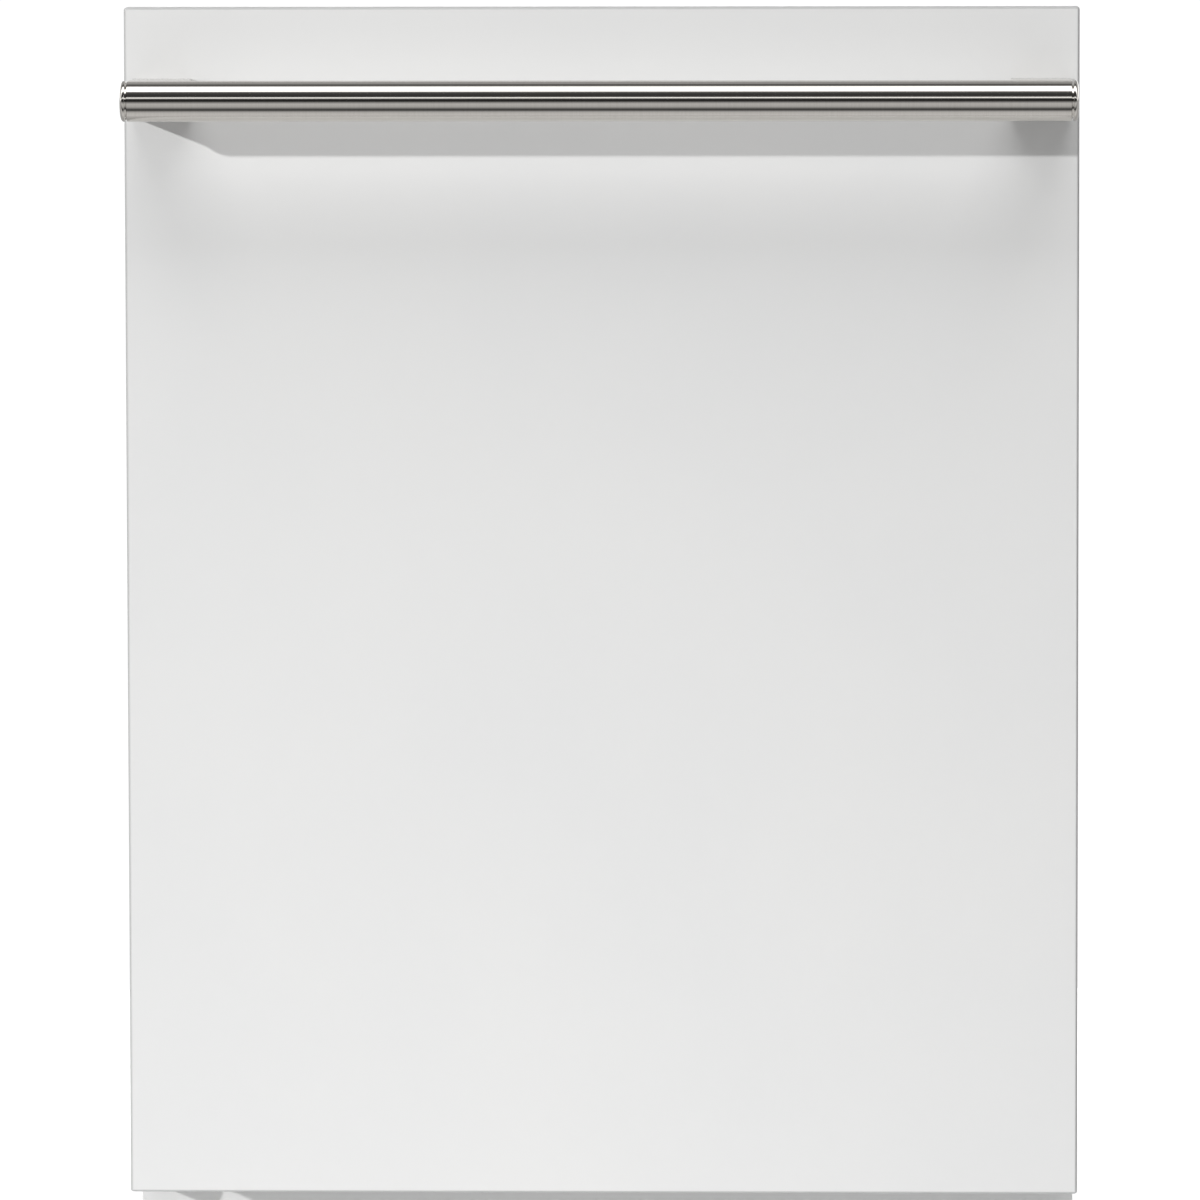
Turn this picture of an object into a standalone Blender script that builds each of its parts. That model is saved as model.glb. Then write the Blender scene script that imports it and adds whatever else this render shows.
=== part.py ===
"""A built-in dishwasher, with one named object for each piece.

Metres, +Z up, and the door faces -Y. The origin is on the floor below the middle of the machine.
Every piece is built in its place with the door closed and the racks pushed in.
"""

import math

import bmesh
import bpy
from mathutils import Matrix, Vector

GAP = 0.0003  # air left between pieces that rest on each other

# The door
PANEL_HALF = 0.2985
PANEL_BOTTOM = 0.110
PANEL_TOP = 0.857
PANEL_FRONT = -0.2785
PANEL_BACK = -0.2595
PANEL_SHEET = 0.0015
CONTROL_TOP = 0.8545  # just out of sight behind the top of the panel
LINER_HALF = 0.284
LINER_BOTTOM = 0.116
LINER_TOP = 0.845
LINER_RIM = -0.222  # the face that meets the gasket
LINER_INSIDE = -0.212  # the raised middle, which stands inside the gasket
HINGE = Vector((0.0, -0.222, 0.124))

# The bar handle
BAR_RADIUS = 0.0127
BAR_HALF = 0.293
BAR_Y = -0.3266
BAR_Z = 0.8006
CAP_LENGTH = 0.0045
POST_WIDTH = 0.038
POST_OUTSIDE = 0.2935

# The tub and the frame around it
TUB_HALF = 0.280
TUB_FRONT = -0.205
TUB_BACK = 0.325
TUB_BOTTOM = 0.150
TUB_TOP = 0.825
WALL = 0.0015
LIP_HALF = 0.2865
LIP_BOTTOM = 0.140
LIP_TOP = 0.846
RAIL_INSIDE = 0.2868
MACHINE_HALF = 0.297
UPRIGHT_TOP = 0.852
BASE_HALF = 0.2865
BASE_FRONT = -0.190
BASE_BACK = 0.3395
BASE_BOTTOM = 0.030
BASE_TOP = 0.1497
BASE_WALL = 0.012
TOE_FRONT = -0.200

# The inside
ARM_CENTRE_Y = 0.020
RACK_FRONT = -0.182
RACK_BACK = 0.296
RACK_BAR = 0.005
LOWER_RACK_BOTTOM = 0.219
WHEEL_RADIUS = 0.018
WHEEL_Z = TUB_BOTTOM + WALL + GAP + WHEEL_RADIUS
WHEEL_FRONT_Y = -0.094
WHEEL_BACK_Y = 0.205
WHEEL_X = 0.241

# Colour, roughness and metallic of each finish
FINISHES = {
    "white_enamel": ((0.82, 0.82, 0.81), 0.42, 0.0),
    "brushed_steel": ((0.62, 0.61, 0.59), 0.30, 1.0),
    "bright_steel": ((0.66, 0.66, 0.66), 0.22, 1.0),
    "zinc_plate": ((0.52, 0.54, 0.56), 0.42, 1.0),
    "black_plastic": ((0.030, 0.031, 0.033), 0.50, 0.0),
    "grey_plastic": ((0.30, 0.31, 0.33), 0.50, 0.0),
    "light_grey_plastic": ((0.56, 0.58, 0.60), 0.46, 0.0),
    "black_rubber": ((0.022, 0.022, 0.023), 0.75, 0.0),
    "grey_nylon": ((0.36, 0.39, 0.43), 0.45, 0.0),
    "dark_glass": ((0.010, 0.011, 0.013), 0.08, 0.0),
    "felt": ((0.075, 0.075, 0.080), 0.95, 0.0),
}


def paint(piece, finish):
    """Give a piece its own Principled material."""
    colour, roughness, metallic = FINISHES[finish]
    material = bpy.data.materials.new(f"{piece.name}_{finish}")
    material.use_nodes = True
    shader = material.node_tree.nodes["Principled BSDF"]
    shader.inputs["Base Color"].default_value = (*colour, 1.0)
    shader.inputs["Roughness"].default_value = roughness
    shader.inputs["Metallic"].default_value = metallic
    piece.data.materials.clear()
    piece.data.materials.append(material)


def make_object(name, bm):
    """Turn a bmesh into a linked object with its faces outwards."""
    bmesh.ops.recalc_face_normals(bm, faces=bm.faces)
    mesh = bpy.data.meshes.new(name)
    bm.to_mesh(mesh)
    bm.free()
    piece = bpy.data.objects.new(name, mesh)
    bpy.context.scene.collection.objects.link(piece)
    return piece


def apply_modifiers(piece):
    """Replace a piece's mesh by what its modifiers make of it."""
    graph = bpy.context.evaluated_depsgraph_get()
    mesh = bpy.data.meshes.new_from_object(piece.evaluated_get(graph))
    piece.modifiers.clear()
    piece.data = mesh


def combine(piece, tool, operation):
    """Join, cut or keep the overlap with another object, which is used up."""
    modifier = piece.modifiers.new("combine", "BOOLEAN")
    modifier.operation = operation
    modifier.solver = "EXACT"
    modifier.object = tool
    apply_modifiers(piece)
    bpy.data.objects.remove(tool)


def cut(piece, *tools):
    for tool in tools:
        combine(piece, tool, "DIFFERENCE")


def join(piece, *tools):
    for tool in tools:
        combine(piece, tool, "UNION")


def round_edges(piece, width, segments=1, angle=40.0):
    """Bevel every edge that bends more than the angle."""
    modifier = piece.modifiers.new("round", "BEVEL")
    modifier.width = width
    modifier.segments = segments
    modifier.limit_method = "ANGLE"
    modifier.angle_limit = math.radians(angle)
    apply_modifiers(piece)


def smooth(piece, angle=35.0):
    """Shade smooth except over edges that bend more than the angle."""
    piece.data.shade_smooth()
    piece.data.set_sharp_from_angle(angle=math.radians(angle))


def block(name, low, high):
    """A box between two corners."""
    low = Vector(low)
    high = Vector(high)
    size = high - low
    place = Matrix.Translation((low + high) / 2) @ Matrix.Diagonal((*size, 1.0))
    bm = bmesh.new()
    bmesh.ops.create_cube(bm, size=1.0, matrix=place)
    return make_object(name, bm)


def axis_point(axis, first, second, along):
    """A point from two coordinates across an axis and one along it."""
    if axis == "X":
        return Vector((along, first, second))
    if axis == "Y":
        return Vector((first, along, second))
    return Vector((first, second, along))


def prism(name, outline, axis, start, end):
    """Push an outline along an axis. Its points are the other two coordinates, in XYZ order."""
    bm = bmesh.new()
    rings = []
    for along in (start, end):
        rings.append([bm.verts.new(axis_point(axis, a, b, along)) for a, b in outline])
    for ring in rings:
        bm.faces.new(ring)
    for i in range(len(outline)):
        j = (i + 1) % len(outline)
        bm.faces.new((rings[0][i], rings[0][j], rings[1][j], rings[1][i]))
    return make_object(name, bm)


def rounded_outline(low, high, radius, steps=4):
    """A rectangle with round corners, as a list of points."""
    points = []
    for corner in range(4):
        at_high_a = corner in (0, 3)
        at_high_b = corner in (0, 1)
        a = high[0] - radius if at_high_a else low[0] + radius
        b = high[1] - radius if at_high_b else low[1] + radius
        for step in range(steps + 1):
            turn = math.pi / 2 * (corner + step / steps)
            points.append((a + radius * math.cos(turn), b + radius * math.sin(turn)))
    return points


def turned(name, profile, centre, axis, steps=24):
    """Turn a profile of (radius, distance) about an axis through the centre.

    A profile that starts and ends on the axis makes a solid, and any other makes a ring.
    """
    bm = bmesh.new()
    centre = Vector(centre)
    rings = []
    for radius, distance in profile:
        if radius == 0.0:
            rings.append([bm.verts.new(centre + axis_point(axis, 0.0, 0.0, distance))])
            continue
        ring = []
        for step in range(steps):
            turn = 2 * math.pi * step / steps
            across = (radius * math.cos(turn), radius * math.sin(turn))
            ring.append(bm.verts.new(centre + axis_point(axis, *across, distance)))
        rings.append(ring)
    pairs = list(zip(rings, rings[1:]))
    if profile[0][0] > 0.0:
        pairs.append((rings[-1], rings[0]))
    for here, there in pairs:
        for i in range(steps):
            j = (i + 1) % steps
            corners = [here[i % len(here)], here[j % len(here)]]
            corners += [there[j % len(there)], there[i % len(there)]]
            bm.faces.new(list(dict.fromkeys(corners)))
    piece = make_object(name, bm)
    smooth(piece)
    return piece


def rod(name, radius, centre, axis, start, end, steps=24):
    """A plain cylinder along an axis."""
    profile = ((0.0, start), (radius, start), (radius, end), (0.0, end))
    return turned(name, profile, centre, axis, steps)


def swept(name, path, outline, up):
    """Run an outline of (across, up) points along an open path that lies flat across up."""
    bm = bmesh.new()
    rings = []
    for i, point in enumerate(path):
        before = (point - path[max(i - 1, 0)]).normalized()
        after = (path[min(i + 1, len(path) - 1)] - point).normalized()
        along = (before + after).normalized()
        across = along.cross(up)
        stretch = 1.0
        if before.length and after.length:
            stretch = 1.0 / math.sqrt((1.0 + before.dot(after)) / 2)
        rings.append([bm.verts.new(point + across * a * stretch + up * b) for a, b in outline])
    for here, there in zip(rings, rings[1:]):
        for i in range(len(outline)):
            j = (i + 1) % len(outline)
            bm.faces.new((here[i], here[j], there[j], there[i]))
    bm.faces.new(rings[0])
    bm.faces.new(rings[-1])
    return make_object(name, bm)


def bend(corner, before, after, radius, steps=4):
    """Points of a round corner between two points of a path."""
    into = (before - corner).normalized()
    out = (after - corner).normalized()
    half = into.angle(out) / 2
    middle = corner + (into + out).normalized() * radius / math.sin(half)
    start = (corner + into * radius / math.tan(half) - middle).normalized()
    end = (corner + out * radius / math.tan(half) - middle).normalized()
    return [middle + start.slerp(end, step / steps) * radius for step in range(steps + 1)]


def bent_path(points, radius, steps=4):
    """A path whose inner corners are round."""
    path = [points[0]]
    for before, corner, after in zip(points, points[1:], points[2:]):
        path += bend(corner, before, after, radius, steps)
    path.append(points[-1])
    return path


def circle_outline(radius, steps):
    turns = [2 * math.pi * step / steps for step in range(steps)]
    return [(radius * math.cos(turn), radius * math.sin(turn)) for turn in turns]


def basket(name, low, high, cells, bar):
    """An open-topped box of square bars, with so many cells each way."""
    bm = bmesh.new()
    corners = {}

    def corner(*cell):
        if cell not in corners:
            share = [c / count for c, count in zip(cell, cells)]
            place = [a + (b - a) * s for a, b, s in zip(low, high, share)]
            corners[cell] = bm.verts.new(place)
        return corners[cell]

    def face(start, first, second):
        """A cell's face from its start corner, with its sides along two directions."""
        steps = ((0, 0), (1, 0), (1, 1), (0, 1))
        ring = [[s + p * a + q * b for s, a, b in zip(start, first, second)] for p, q in steps]
        bm.faces.new([corner(*cell) for cell in ring])

    across, deep, tall = cells
    for i in range(across):
        for j in range(deep):
            face((i, j, 0), (1, 0, 0), (0, 1, 0))
    for k in range(tall):
        for i in range(across):
            for j in (0, deep):
                face((i, j, k), (1, 0, 0), (0, 0, 1))
        for j in range(deep):
            for i in (0, across):
                face((i, j, k), (0, 1, 0), (0, 0, 1))
    piece = make_object(name, bm)
    modifier = piece.modifiers.new("bars", "WIREFRAME")
    modifier.thickness = bar
    modifier.offset = 0.0
    modifier.use_boundary = True
    modifier.use_replace = True
    modifier.use_even_offset = True
    piece.modifiers.new("flat", "TRIANGULATE")
    apply_modifiers(piece)
    return piece


def set_origin(piece, pivot):
    """Move a piece's origin to its joint without moving the piece."""
    piece.data.transform(Matrix.Translation(-Vector(pivot)))
    piece.location = Vector(pivot)


def carry(name, pivot, *pieces):
    """Parent pieces that move together to an empty at their joint."""
    handle = bpy.data.objects.new(name, None)
    handle.empty_display_size = 0.03
    handle.location = Vector(pivot)
    bpy.context.scene.collection.objects.link(handle)
    for piece in pieces:
        piece.parent = handle
        piece.matrix_parent_inverse = Matrix.Translation(-Vector(pivot))


def finish(piece, name, edge=0.0):
    if edge:
        round_edges(piece, edge)
    paint(piece, name)
    return piece


# The tub and what is fixed to it


def tub():
    """A steel box that is open at the front, with a lip round its mouth."""
    piece = block("tub", (-TUB_HALF, TUB_FRONT, TUB_BOTTOM), (TUB_HALF, TUB_BACK, TUB_TOP))
    lip = prism(
        "lip",
        rounded_outline((-LIP_HALF, LIP_BOTTOM), (LIP_HALF, LIP_TOP), 0.012, 3),
        "Y",
        TUB_FRONT,
        TUB_FRONT + 0.0025,
    )
    join(piece, lip)
    inside = rounded_outline((-TUB_HALF + WALL, TUB_BOTTOM + WALL), (TUB_HALF - WALL, TUB_TOP - WALL), 0.02)
    cut(piece, prism("inside", inside, "Y", TUB_FRONT - 0.01, TUB_BACK - WALL))
    hole = rounded_outline((-0.092, -0.022), (0.092, 0.162), 0.02)
    cut(piece, prism("hole", hole, "Z", 0.14, 0.16))
    return finish(piece, "bright_steel")


def insulation_wrap():
    """Felt over the top and both sides of the tub."""
    inner = TUB_HALF + GAP
    outer = inner + 0.0056
    low = 0.160
    inner_top = TUB_TOP + GAP
    outer_top = inner_top + 0.010
    outline = (
        (-outer, low),
        (-outer, outer_top),
        (outer, outer_top),
        (outer, low),
        (inner, low),
        (inner, inner_top),
        (-inner, inner_top),
        (-inner, low),
    )
    return finish(prism("insulation_wrap", outline, "Y", -0.196, 0.318), "felt")


def base_frame():
    """A moulded tray below the tub, with an ear at each front corner for the door's hinge."""
    piece = block("base_frame", (-BASE_HALF, BASE_FRONT, BASE_BOTTOM), (BASE_HALF, BASE_BACK, BASE_TOP))
    inner_x = BASE_HALF - BASE_WALL
    inside = block(
        "inside",
        (-inner_x, BASE_FRONT + BASE_WALL, BASE_BOTTOM + 0.004),
        (inner_x, BASE_BACK - BASE_WALL, BASE_TOP + 0.01),
    )
    cut(piece, inside)
    for side in (-1, 1):
        root = sorted((side * (BASE_HALF - 0.002), side * 0.291))
        join(piece, block("root", (root[0], BASE_FRONT, 0.104), (root[1], -0.165, 0.146)))
        ear = sorted((side * 0.288, side * 0.291))
        outline = rounded_outline((-0.236, 0.1042), (-0.166, 0.1458), 0.010, 3)
        join(piece, prism("ear", outline, "X", ear[0], ear[1]))
        bore = rod("bore", 0.0036, HINGE, "X", side * 0.280, side * 0.300, 16)
        cut(piece, bore)
        for y in (-0.148, 0.298):
            cut(piece, rod("foot_hole", 0.0056, (side * 0.245, y, 0.0), "Z", 0.02, 0.04, 16))
    cut(piece, rod("inlet_hole", 0.0112, (-0.205, 0.0, 0.085), "Y", 0.32, 0.35, 16))
    cut(piece, rod("outlet_hole", 0.0112, (0.150, 0.0, 0.085), "Y", 0.32, 0.35, 16))
    return finish(piece, "black_plastic")


def frame_rail(side, name):
    """A folded steel upright beside the tub's mouth, with a hole for a screw into the cabinet."""
    inner = side * RAIL_INSIDE
    outer = side * MACHINE_HALF
    web = side * (MACHINE_HALF - 0.002)
    outline = (
        (inner, -0.2015),
        (outer, -0.2015),
        (outer, -0.160),
        (web, -0.160),
        (web, -0.1995),
        (inner, -0.1995),
    )
    piece = prism(name, outline, "Z", 0.1465, UPRIGHT_TOP)
    cut(piece, rod("screw_hole", 0.0025, (0.0, -0.1800, 0.815), "X", side * 0.290, side * 0.300, 12))
    return finish(piece, "zinc_plate")


def toe_kick():
    """A folded plate in front of the base."""
    front = TOE_FRONT
    back = BASE_FRONT - GAP
    outline = (
        (front, 0.012),
        (front, 0.1035),
        (back, 0.1035),
        (back, 0.1020),
        (front + 0.0015, 0.1020),
        (front + 0.0015, 0.0135),
        (back, 0.0135),
        (back, 0.012),
    )
    return finish(prism("toe_kick", outline, "X", -MACHINE_HALF, MACHINE_HALF), "white_enamel")


def door_gasket():
    """A rubber seal round the top and sides of the tub's mouth."""
    across = TUB_HALF + 0.0012
    top = TUB_TOP + 0.0022
    y = (TUB_FRONT + LINER_RIM) / 2
    half_deep = (TUB_FRONT - LINER_RIM) / 2 - GAP
    corners = [
        Vector((-across, y, 0.165)),
        Vector((-across, y, top)),
        Vector((across, y, top)),
        Vector((across, y, 0.165)),
    ]
    outline = rounded_outline((-0.004, -half_deep), (0.004, half_deep), 0.0028, 2)
    piece = swept("door_gasket", bent_path(corners, 0.022), outline, Vector((0.0, 1.0, 0.0)))
    smooth(piece, 50.0)
    return finish(piece, "black_rubber")


def latch_strike():
    """A slotted tongue on the tub's lip that the latch can hook."""
    back = TUB_FRONT - GAP
    piece = block("latch_strike", (-0.022, back - 0.002, 0.8325), (0.022, back, 0.8455))
    join(piece, block("tongue", (-0.011, -0.247, 0.8375), (0.011, back - 0.001, 0.8400)))
    cut(piece, block("slot", (-0.0075, -0.2425, 0.83), (0.0075, -0.229, 0.85)))
    return finish(piece, "zinc_plate")


def sump():
    """A bowl below the tub's floor, with the post that the lower spray arm turns on."""
    outline = rounded_outline((-0.100, -0.030), (0.100, 0.170), 0.024)
    piece = prism("sump", outline, "Z", 0.062, TUB_BOTTOM - GAP)
    hollow = rounded_outline((-0.088, -0.018), (0.088, 0.158), 0.018)
    cut(piece, prism("hollow", hollow, "Z", 0.068, 0.16))
    join(piece, rod("post", 0.013, (0.0, ARM_CENTRE_Y, 0.0), "Z", 0.064, 0.184, 20))
    cut(piece, rod("bore", 0.008, (0.0, ARM_CENTRE_Y, 0.0), "Z", 0.080, 0.190, 12))
    return finish(piece, "grey_plastic")


def filter_plate():
    """The flat sieve over the sump, with openings for the post and the filter cup."""
    low = TUB_BOTTOM + WALL + GAP
    outline = rounded_outline((-0.104, -0.034), (0.104, 0.174), 0.028)
    piece = prism("filter_plate", outline, "Z", low, low + 0.002)
    cut(piece, rod("post_hole", 0.0145, (0.0, ARM_CENTRE_Y, 0.0), "Z", 0.15, 0.16, 20))
    cut(piece, rod("cup_hole", 0.0385, (0.0, 0.108, 0.0), "Z", 0.15, 0.16, 28))
    return finish(piece, "bright_steel")


def filter_cup():
    """The cylinder filter that twists out of the sump."""
    centre = (0.0, 0.108, 0.0)
    rim = TUB_BOTTOM + WALL + GAP + 0.002 + GAP
    profile = (
        (0.0, 0.076),
        (0.037, 0.076),
        (0.037, rim),
        (0.043, rim),
        (0.043, rim + 0.003),
        (0.034, rim + 0.003),
        (0.034, 0.080),
        (0.0, 0.080),
    )
    piece = turned("filter_cup", profile, centre, "Z", 28)
    join(piece, block("grip", (-0.035, 0.1055, 0.126), (0.035, 0.1105, rim + 0.014)))
    set_origin(piece, (0.0, 0.108, rim))
    return finish(piece, "grey_nylon")


def circulation_pump():
    """The wash pump and its motor, lying beside the sump."""
    centre = (0.0, 0.070, 0.097)
    profile = (
        (0.0, -0.262),
        (0.020, -0.262),
        (0.038, -0.254),
        (0.038, -0.168),
        (0.046, -0.164),
        (0.046, -0.118),
        (0.022, -0.112),
        (0.022, -0.1005),
        (0.0, -0.1005),
    )
    return finish(turned("circulation_pump", profile, centre, "X"), "black_plastic")


def drain_pump():
    """The drain pump, with its outlet through the back of the base."""
    centre = (0.0, 0.085, 0.088)
    profile = (
        (0.0, 0.1005),
        (0.018, 0.1005),
        (0.018, 0.108),
        (0.032, 0.112),
        (0.032, 0.150),
        (0.025, 0.154),
        (0.025, 0.205),
        (0.0, 0.205),
    )
    piece = turned("drain_pump", profile, centre, "X")
    join(piece, rod("outlet", 0.0105, (0.150, 0.0, 0.085), "Y", 0.085, BASE_BACK - 0.0005, 16))
    cut(piece, rod("bore", 0.0075, (0.150, 0.0, 0.085), "Y", 0.15, 0.36, 12))
    smooth(piece)
    return finish(piece, "grey_plastic")


def inlet_valve():
    """The water valve, with its inlet through the back of the base."""
    piece = block("inlet_valve", (-0.228, 0.262, 0.062), (-0.182, 0.306, 0.108))
    round_edges(piece, 0.003)
    join(piece, rod("coil", 0.014, (-0.205, 0.284, 0.0), "Z", 0.106, 0.138, 16))
    join(piece, rod("inlet", 0.0105, (-0.205, 0.0, 0.085), "Y", 0.300, BASE_BACK - 0.0005, 16))
    cut(piece, rod("bore", 0.0070, (-0.205, 0.0, 0.085), "Y", 0.318, 0.36, 12))
    return finish(piece, "light_grey_plastic")


def junction_box():
    """The steel box for the mains wires, open below its lid."""
    piece = block("junction_box", (0.120, -0.168, 0.038), (0.220, -0.098, 0.098))
    cut(piece, block("hollow", (0.122, -0.166, 0.030), (0.218, -0.100, 0.0965)))
    return finish(piece, "zinc_plate")


def hinge_cassette(side, name):
    """The closed box that holds the spring and damper of one door hinge."""
    x = sorted((side * 0.258, side * (BASE_HALF - BASE_WALL - GAP)))
    piece = block(name, (x[0], -0.168, 0.044), (x[1], -0.040, 0.104))
    return finish(piece, "zinc_plate", 0.0015)


def heating_element():
    """A steel tube that runs round the floor of the tub from its back wall."""
    z = 0.170
    back = TUB_BACK - WALL - GAP
    corners = [
        Vector((-0.060, back, z)),
        Vector((-0.060, 0.232, z)),
        Vector((-0.165, 0.232, z)),
        Vector((-0.165, -0.095, z)),
        Vector((0.165, -0.095, z)),
        Vector((0.165, 0.232, z)),
        Vector((0.060, 0.232, z)),
        Vector((0.060, back, z)),
    ]
    path = bent_path(corners, 0.022)
    piece = swept("heating_element", path, circle_outline(0.004, 8), Vector((0.0, 0.0, 1.0)))
    smooth(piece, 60.0)
    return finish(piece, "zinc_plate")


def water_feed_tube():
    """The duct up the back wall and along the ceiling to the top sprayer."""
    back = TUB_BACK - WALL - GAP
    top = TUB_TOP - WALL - GAP
    piece = block("water_feed_tube", (-0.017, back - 0.014, 0.1655), (0.017, back, top))
    join(piece, block("ceiling_run", (-0.017, -0.002, top - 0.010), (0.017, back, top)))
    join(piece, block("middle_outlet", (-0.012, 0.300, 0.478), (0.012, back - 0.010, 0.496)))
    return finish(piece, "grey_plastic", 0.0015)


# Pieces that move in the tub


def blade_outline(centre_y, reach, root, tip, hub):
    """The plan of a two-bladed spray arm along X."""
    points = []
    steps = 6
    for side in (1, -1):
        start = -math.asin(min(root / hub, 1.0))
        for step in range(steps + 1):
            turn = -math.pi / 2 + (start + math.pi / 2) * step / steps
            if step == 0 and points:
                continue
            points.append((hub * math.cos(turn) * side, hub * math.sin(turn) * side))
        for step in range(steps + 1):
            turn = -math.pi / 2 + math.pi * step / steps
            points.append(((reach - tip + tip * math.cos(turn)) * side, tip * math.sin(turn) * side))
        for step in range(steps):
            turn = -start + (math.pi / 2 + start) * step / steps
            points.append((hub * math.cos(turn) * side, hub * math.sin(turn) * side))
    return [(x, y + centre_y) for x, y in points]


def spray_arm(name, reach, root, tip, hub, low, high):
    piece = prism(name, blade_outline(ARM_CENTRE_Y, reach, root, tip, hub), "Z", low, high)
    round_edges(piece, 0.0025, 1, 60.0)
    return piece


def lower_spray_arm():
    piece = spray_arm("lower_spray_arm", 0.205, 0.021, 0.017, 0.032, 0.187, 0.200)
    join(piece, rod("cap", 0.019, (0.0, ARM_CENTRE_Y, 0.0), "Z", 0.198, 0.2065, 20))
    join(piece, rod("socket", 0.018, (0.0, ARM_CENTRE_Y, 0.0), "Z", 0.1843, 0.188, 20))
    set_origin(piece, (0.0, ARM_CENTRE_Y, 0.187))
    return finish(piece, "grey_plastic")


def middle_spray_arm():
    piece = spray_arm("middle_spray_arm", 0.190, 0.019, 0.015, 0.028, 0.462, 0.474)
    join(piece, rod("socket", 0.015, (0.0, ARM_CENTRE_Y, 0.0), "Z", 0.472, 0.488, 20))
    set_origin(piece, (0.0, ARM_CENTRE_Y, 0.468))
    return finish(piece, "grey_plastic")


def ceiling_sprayer():
    piece = spray_arm("ceiling_sprayer", 0.080, 0.015, 0.012, 0.022, 0.797, 0.806)
    top = TUB_TOP - WALL - GAP - 0.010 - GAP
    join(piece, rod("socket", 0.012, (0.0, ARM_CENTRE_Y, 0.0), "Z", 0.804, top, 20))
    set_origin(piece, (0.0, ARM_CENTRE_Y, 0.8))
    return finish(piece, "grey_plastic")


def float_dome():
    """The float that rises if the tub holds too much water."""
    low = TUB_BOTTOM + WALL + GAP
    profile = (
        (0.0, low + 0.020),
        (0.018, low + 0.020),
        (0.018, low),
        (0.021, low),
        (0.021, low + 0.018),
        (0.017, low + 0.024),
        (0.0, low + 0.026),
    )
    piece = turned("float_dome", profile, (-0.185, -0.150, 0.0), "Z", 20)
    set_origin(piece, (-0.185, -0.150, low))
    return finish(piece, "light_grey_plastic")


def levelling_foot(side, y, name):
    """A threaded foot that screws down out of the base."""
    x = side * 0.245
    profile = (
        (0.0, 0.0),
        (0.017, 0.0),
        (0.019, 0.002),
        (0.019, 0.007),
        (0.010, 0.012),
        (0.005, 0.012),
        (0.005, 0.078),
        (0.0, 0.078),
    )
    piece = turned(name, profile, (x, y, 0.0), "Z", 20)
    set_origin(piece, (x, y, 0.0))
    return finish(piece, "black_plastic")


def rack_rail(side, z, name):
    """A channel that runs out at half the speed of the rack that it carries."""
    outer = side * 0.2745
    inner = side * 0.2625
    web = side * 0.2725
    outline = (
        (outer, z),
        (inner, z),
        (inner, z + 0.002),
        (web, z + 0.002),
        (web, z + 0.022),
        (inner, z + 0.022),
        (inner, z + 0.024),
        (outer, z + 0.024),
    )
    return finish(prism(name, outline, "Y", -0.188, 0.290), "zinc_plate")


def upper_rack():
    low = (-0.252, RACK_FRONT, 0.508)
    high = (0.252, RACK_BACK, 0.592)
    return finish(basket("upper_rack", low, high, (7, 6, 1), RACK_BAR), "grey_nylon")


def third_rack():
    low = (-0.252, RACK_FRONT, 0.744)
    high = (0.252, RACK_BACK, 0.788)
    return finish(basket("third_rack", low, high, (7, 6, 1), RACK_BAR), "grey_nylon")


def lower_rack():
    low = (-0.256, RACK_FRONT, LOWER_RACK_BOTTOM)
    high = (0.256, RACK_BACK, 0.330)
    return finish(basket("lower_rack", low, high, (7, 6, 2), RACK_BAR), "grey_nylon")


def wheel_bracket(side, name):
    """The rail under one side of the lower rack, with a leg and an axle for each wheel."""
    top = LOWER_RACK_BOTTOM - RACK_BAR / 2 - GAP
    x = sorted((side * 0.2250, side * 0.2340))
    piece = block(name, (x[0], -0.150, top - 0.004), (x[1], 0.262, top))
    for y in (WHEEL_FRONT_Y, WHEEL_BACK_Y):
        x = sorted((side * 0.2265, side * 0.2325))
        join(piece, block("leg", (x[0], y - 0.008, WHEEL_Z - 0.008), (x[1], y + 0.008, top - 0.002)))
        join(piece, rod("axle", 0.004, (0.0, y, WHEEL_Z), "X", side * 0.230, side * 0.249, 12))
    return finish(piece, "light_grey_plastic")


def rack_wheel(side, y, name):
    centre = (side * WHEEL_X, y, WHEEL_Z)
    profile = (
        (0.0044, -0.005),
        (0.0150, -0.005),
        (WHEEL_RADIUS, -0.003),
        (WHEEL_RADIUS, 0.003),
        (0.0150, 0.005),
        (0.0044, 0.005),
    )
    piece = turned(name, profile, centre, "X", 20)
    set_origin(piece, centre)
    return finish(piece, "light_grey_plastic")


def cutlery_basket():
    """A basket for knives and forks that stands in the lower rack and lifts out."""
    piece = basket("cutlery_basket", (0.112, -0.158, 0.2255), (0.226, 0.070, 0.312), (3, 6, 2), 0.003)
    join(piece, block("divider", (0.112, -0.0455, 0.2245), (0.226, -0.0425, 0.313)))
    outer = ((-0.110, 0.308), (-0.080, 0.345), (-0.008, 0.345), (0.022, 0.308))
    inner = ((0.014, 0.308), (-0.012, 0.338), (-0.076, 0.338), (-0.102, 0.308))
    join(piece, prism("handle", outer + inner, "X", 0.1675, 0.1705))
    join(piece, block("spine", (0.1665, -0.158, 0.3090), (0.1715, 0.070, 0.3135)))
    set_origin(piece, (0.169, -0.044, 0.2255))
    return finish(piece, "grey_plastic")


# The door


def door_outer_panel():
    """The flat front of the door, a sheet folded back round all four sides."""
    low = Vector((-PANEL_HALF, PANEL_FRONT, PANEL_BOTTOM))
    high = Vector((PANEL_HALF, PANEL_BACK, PANEL_TOP))
    piece = block("door_outer_panel", low, high)
    round_edges(piece, 0.0015, 2)
    sheet = PANEL_SHEET
    low += Vector((sheet, sheet, sheet))
    high += Vector((-sheet, 0.01, -sheet))
    cut(piece, block("hollow", low, high))
    return finish(piece, "white_enamel")


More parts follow.
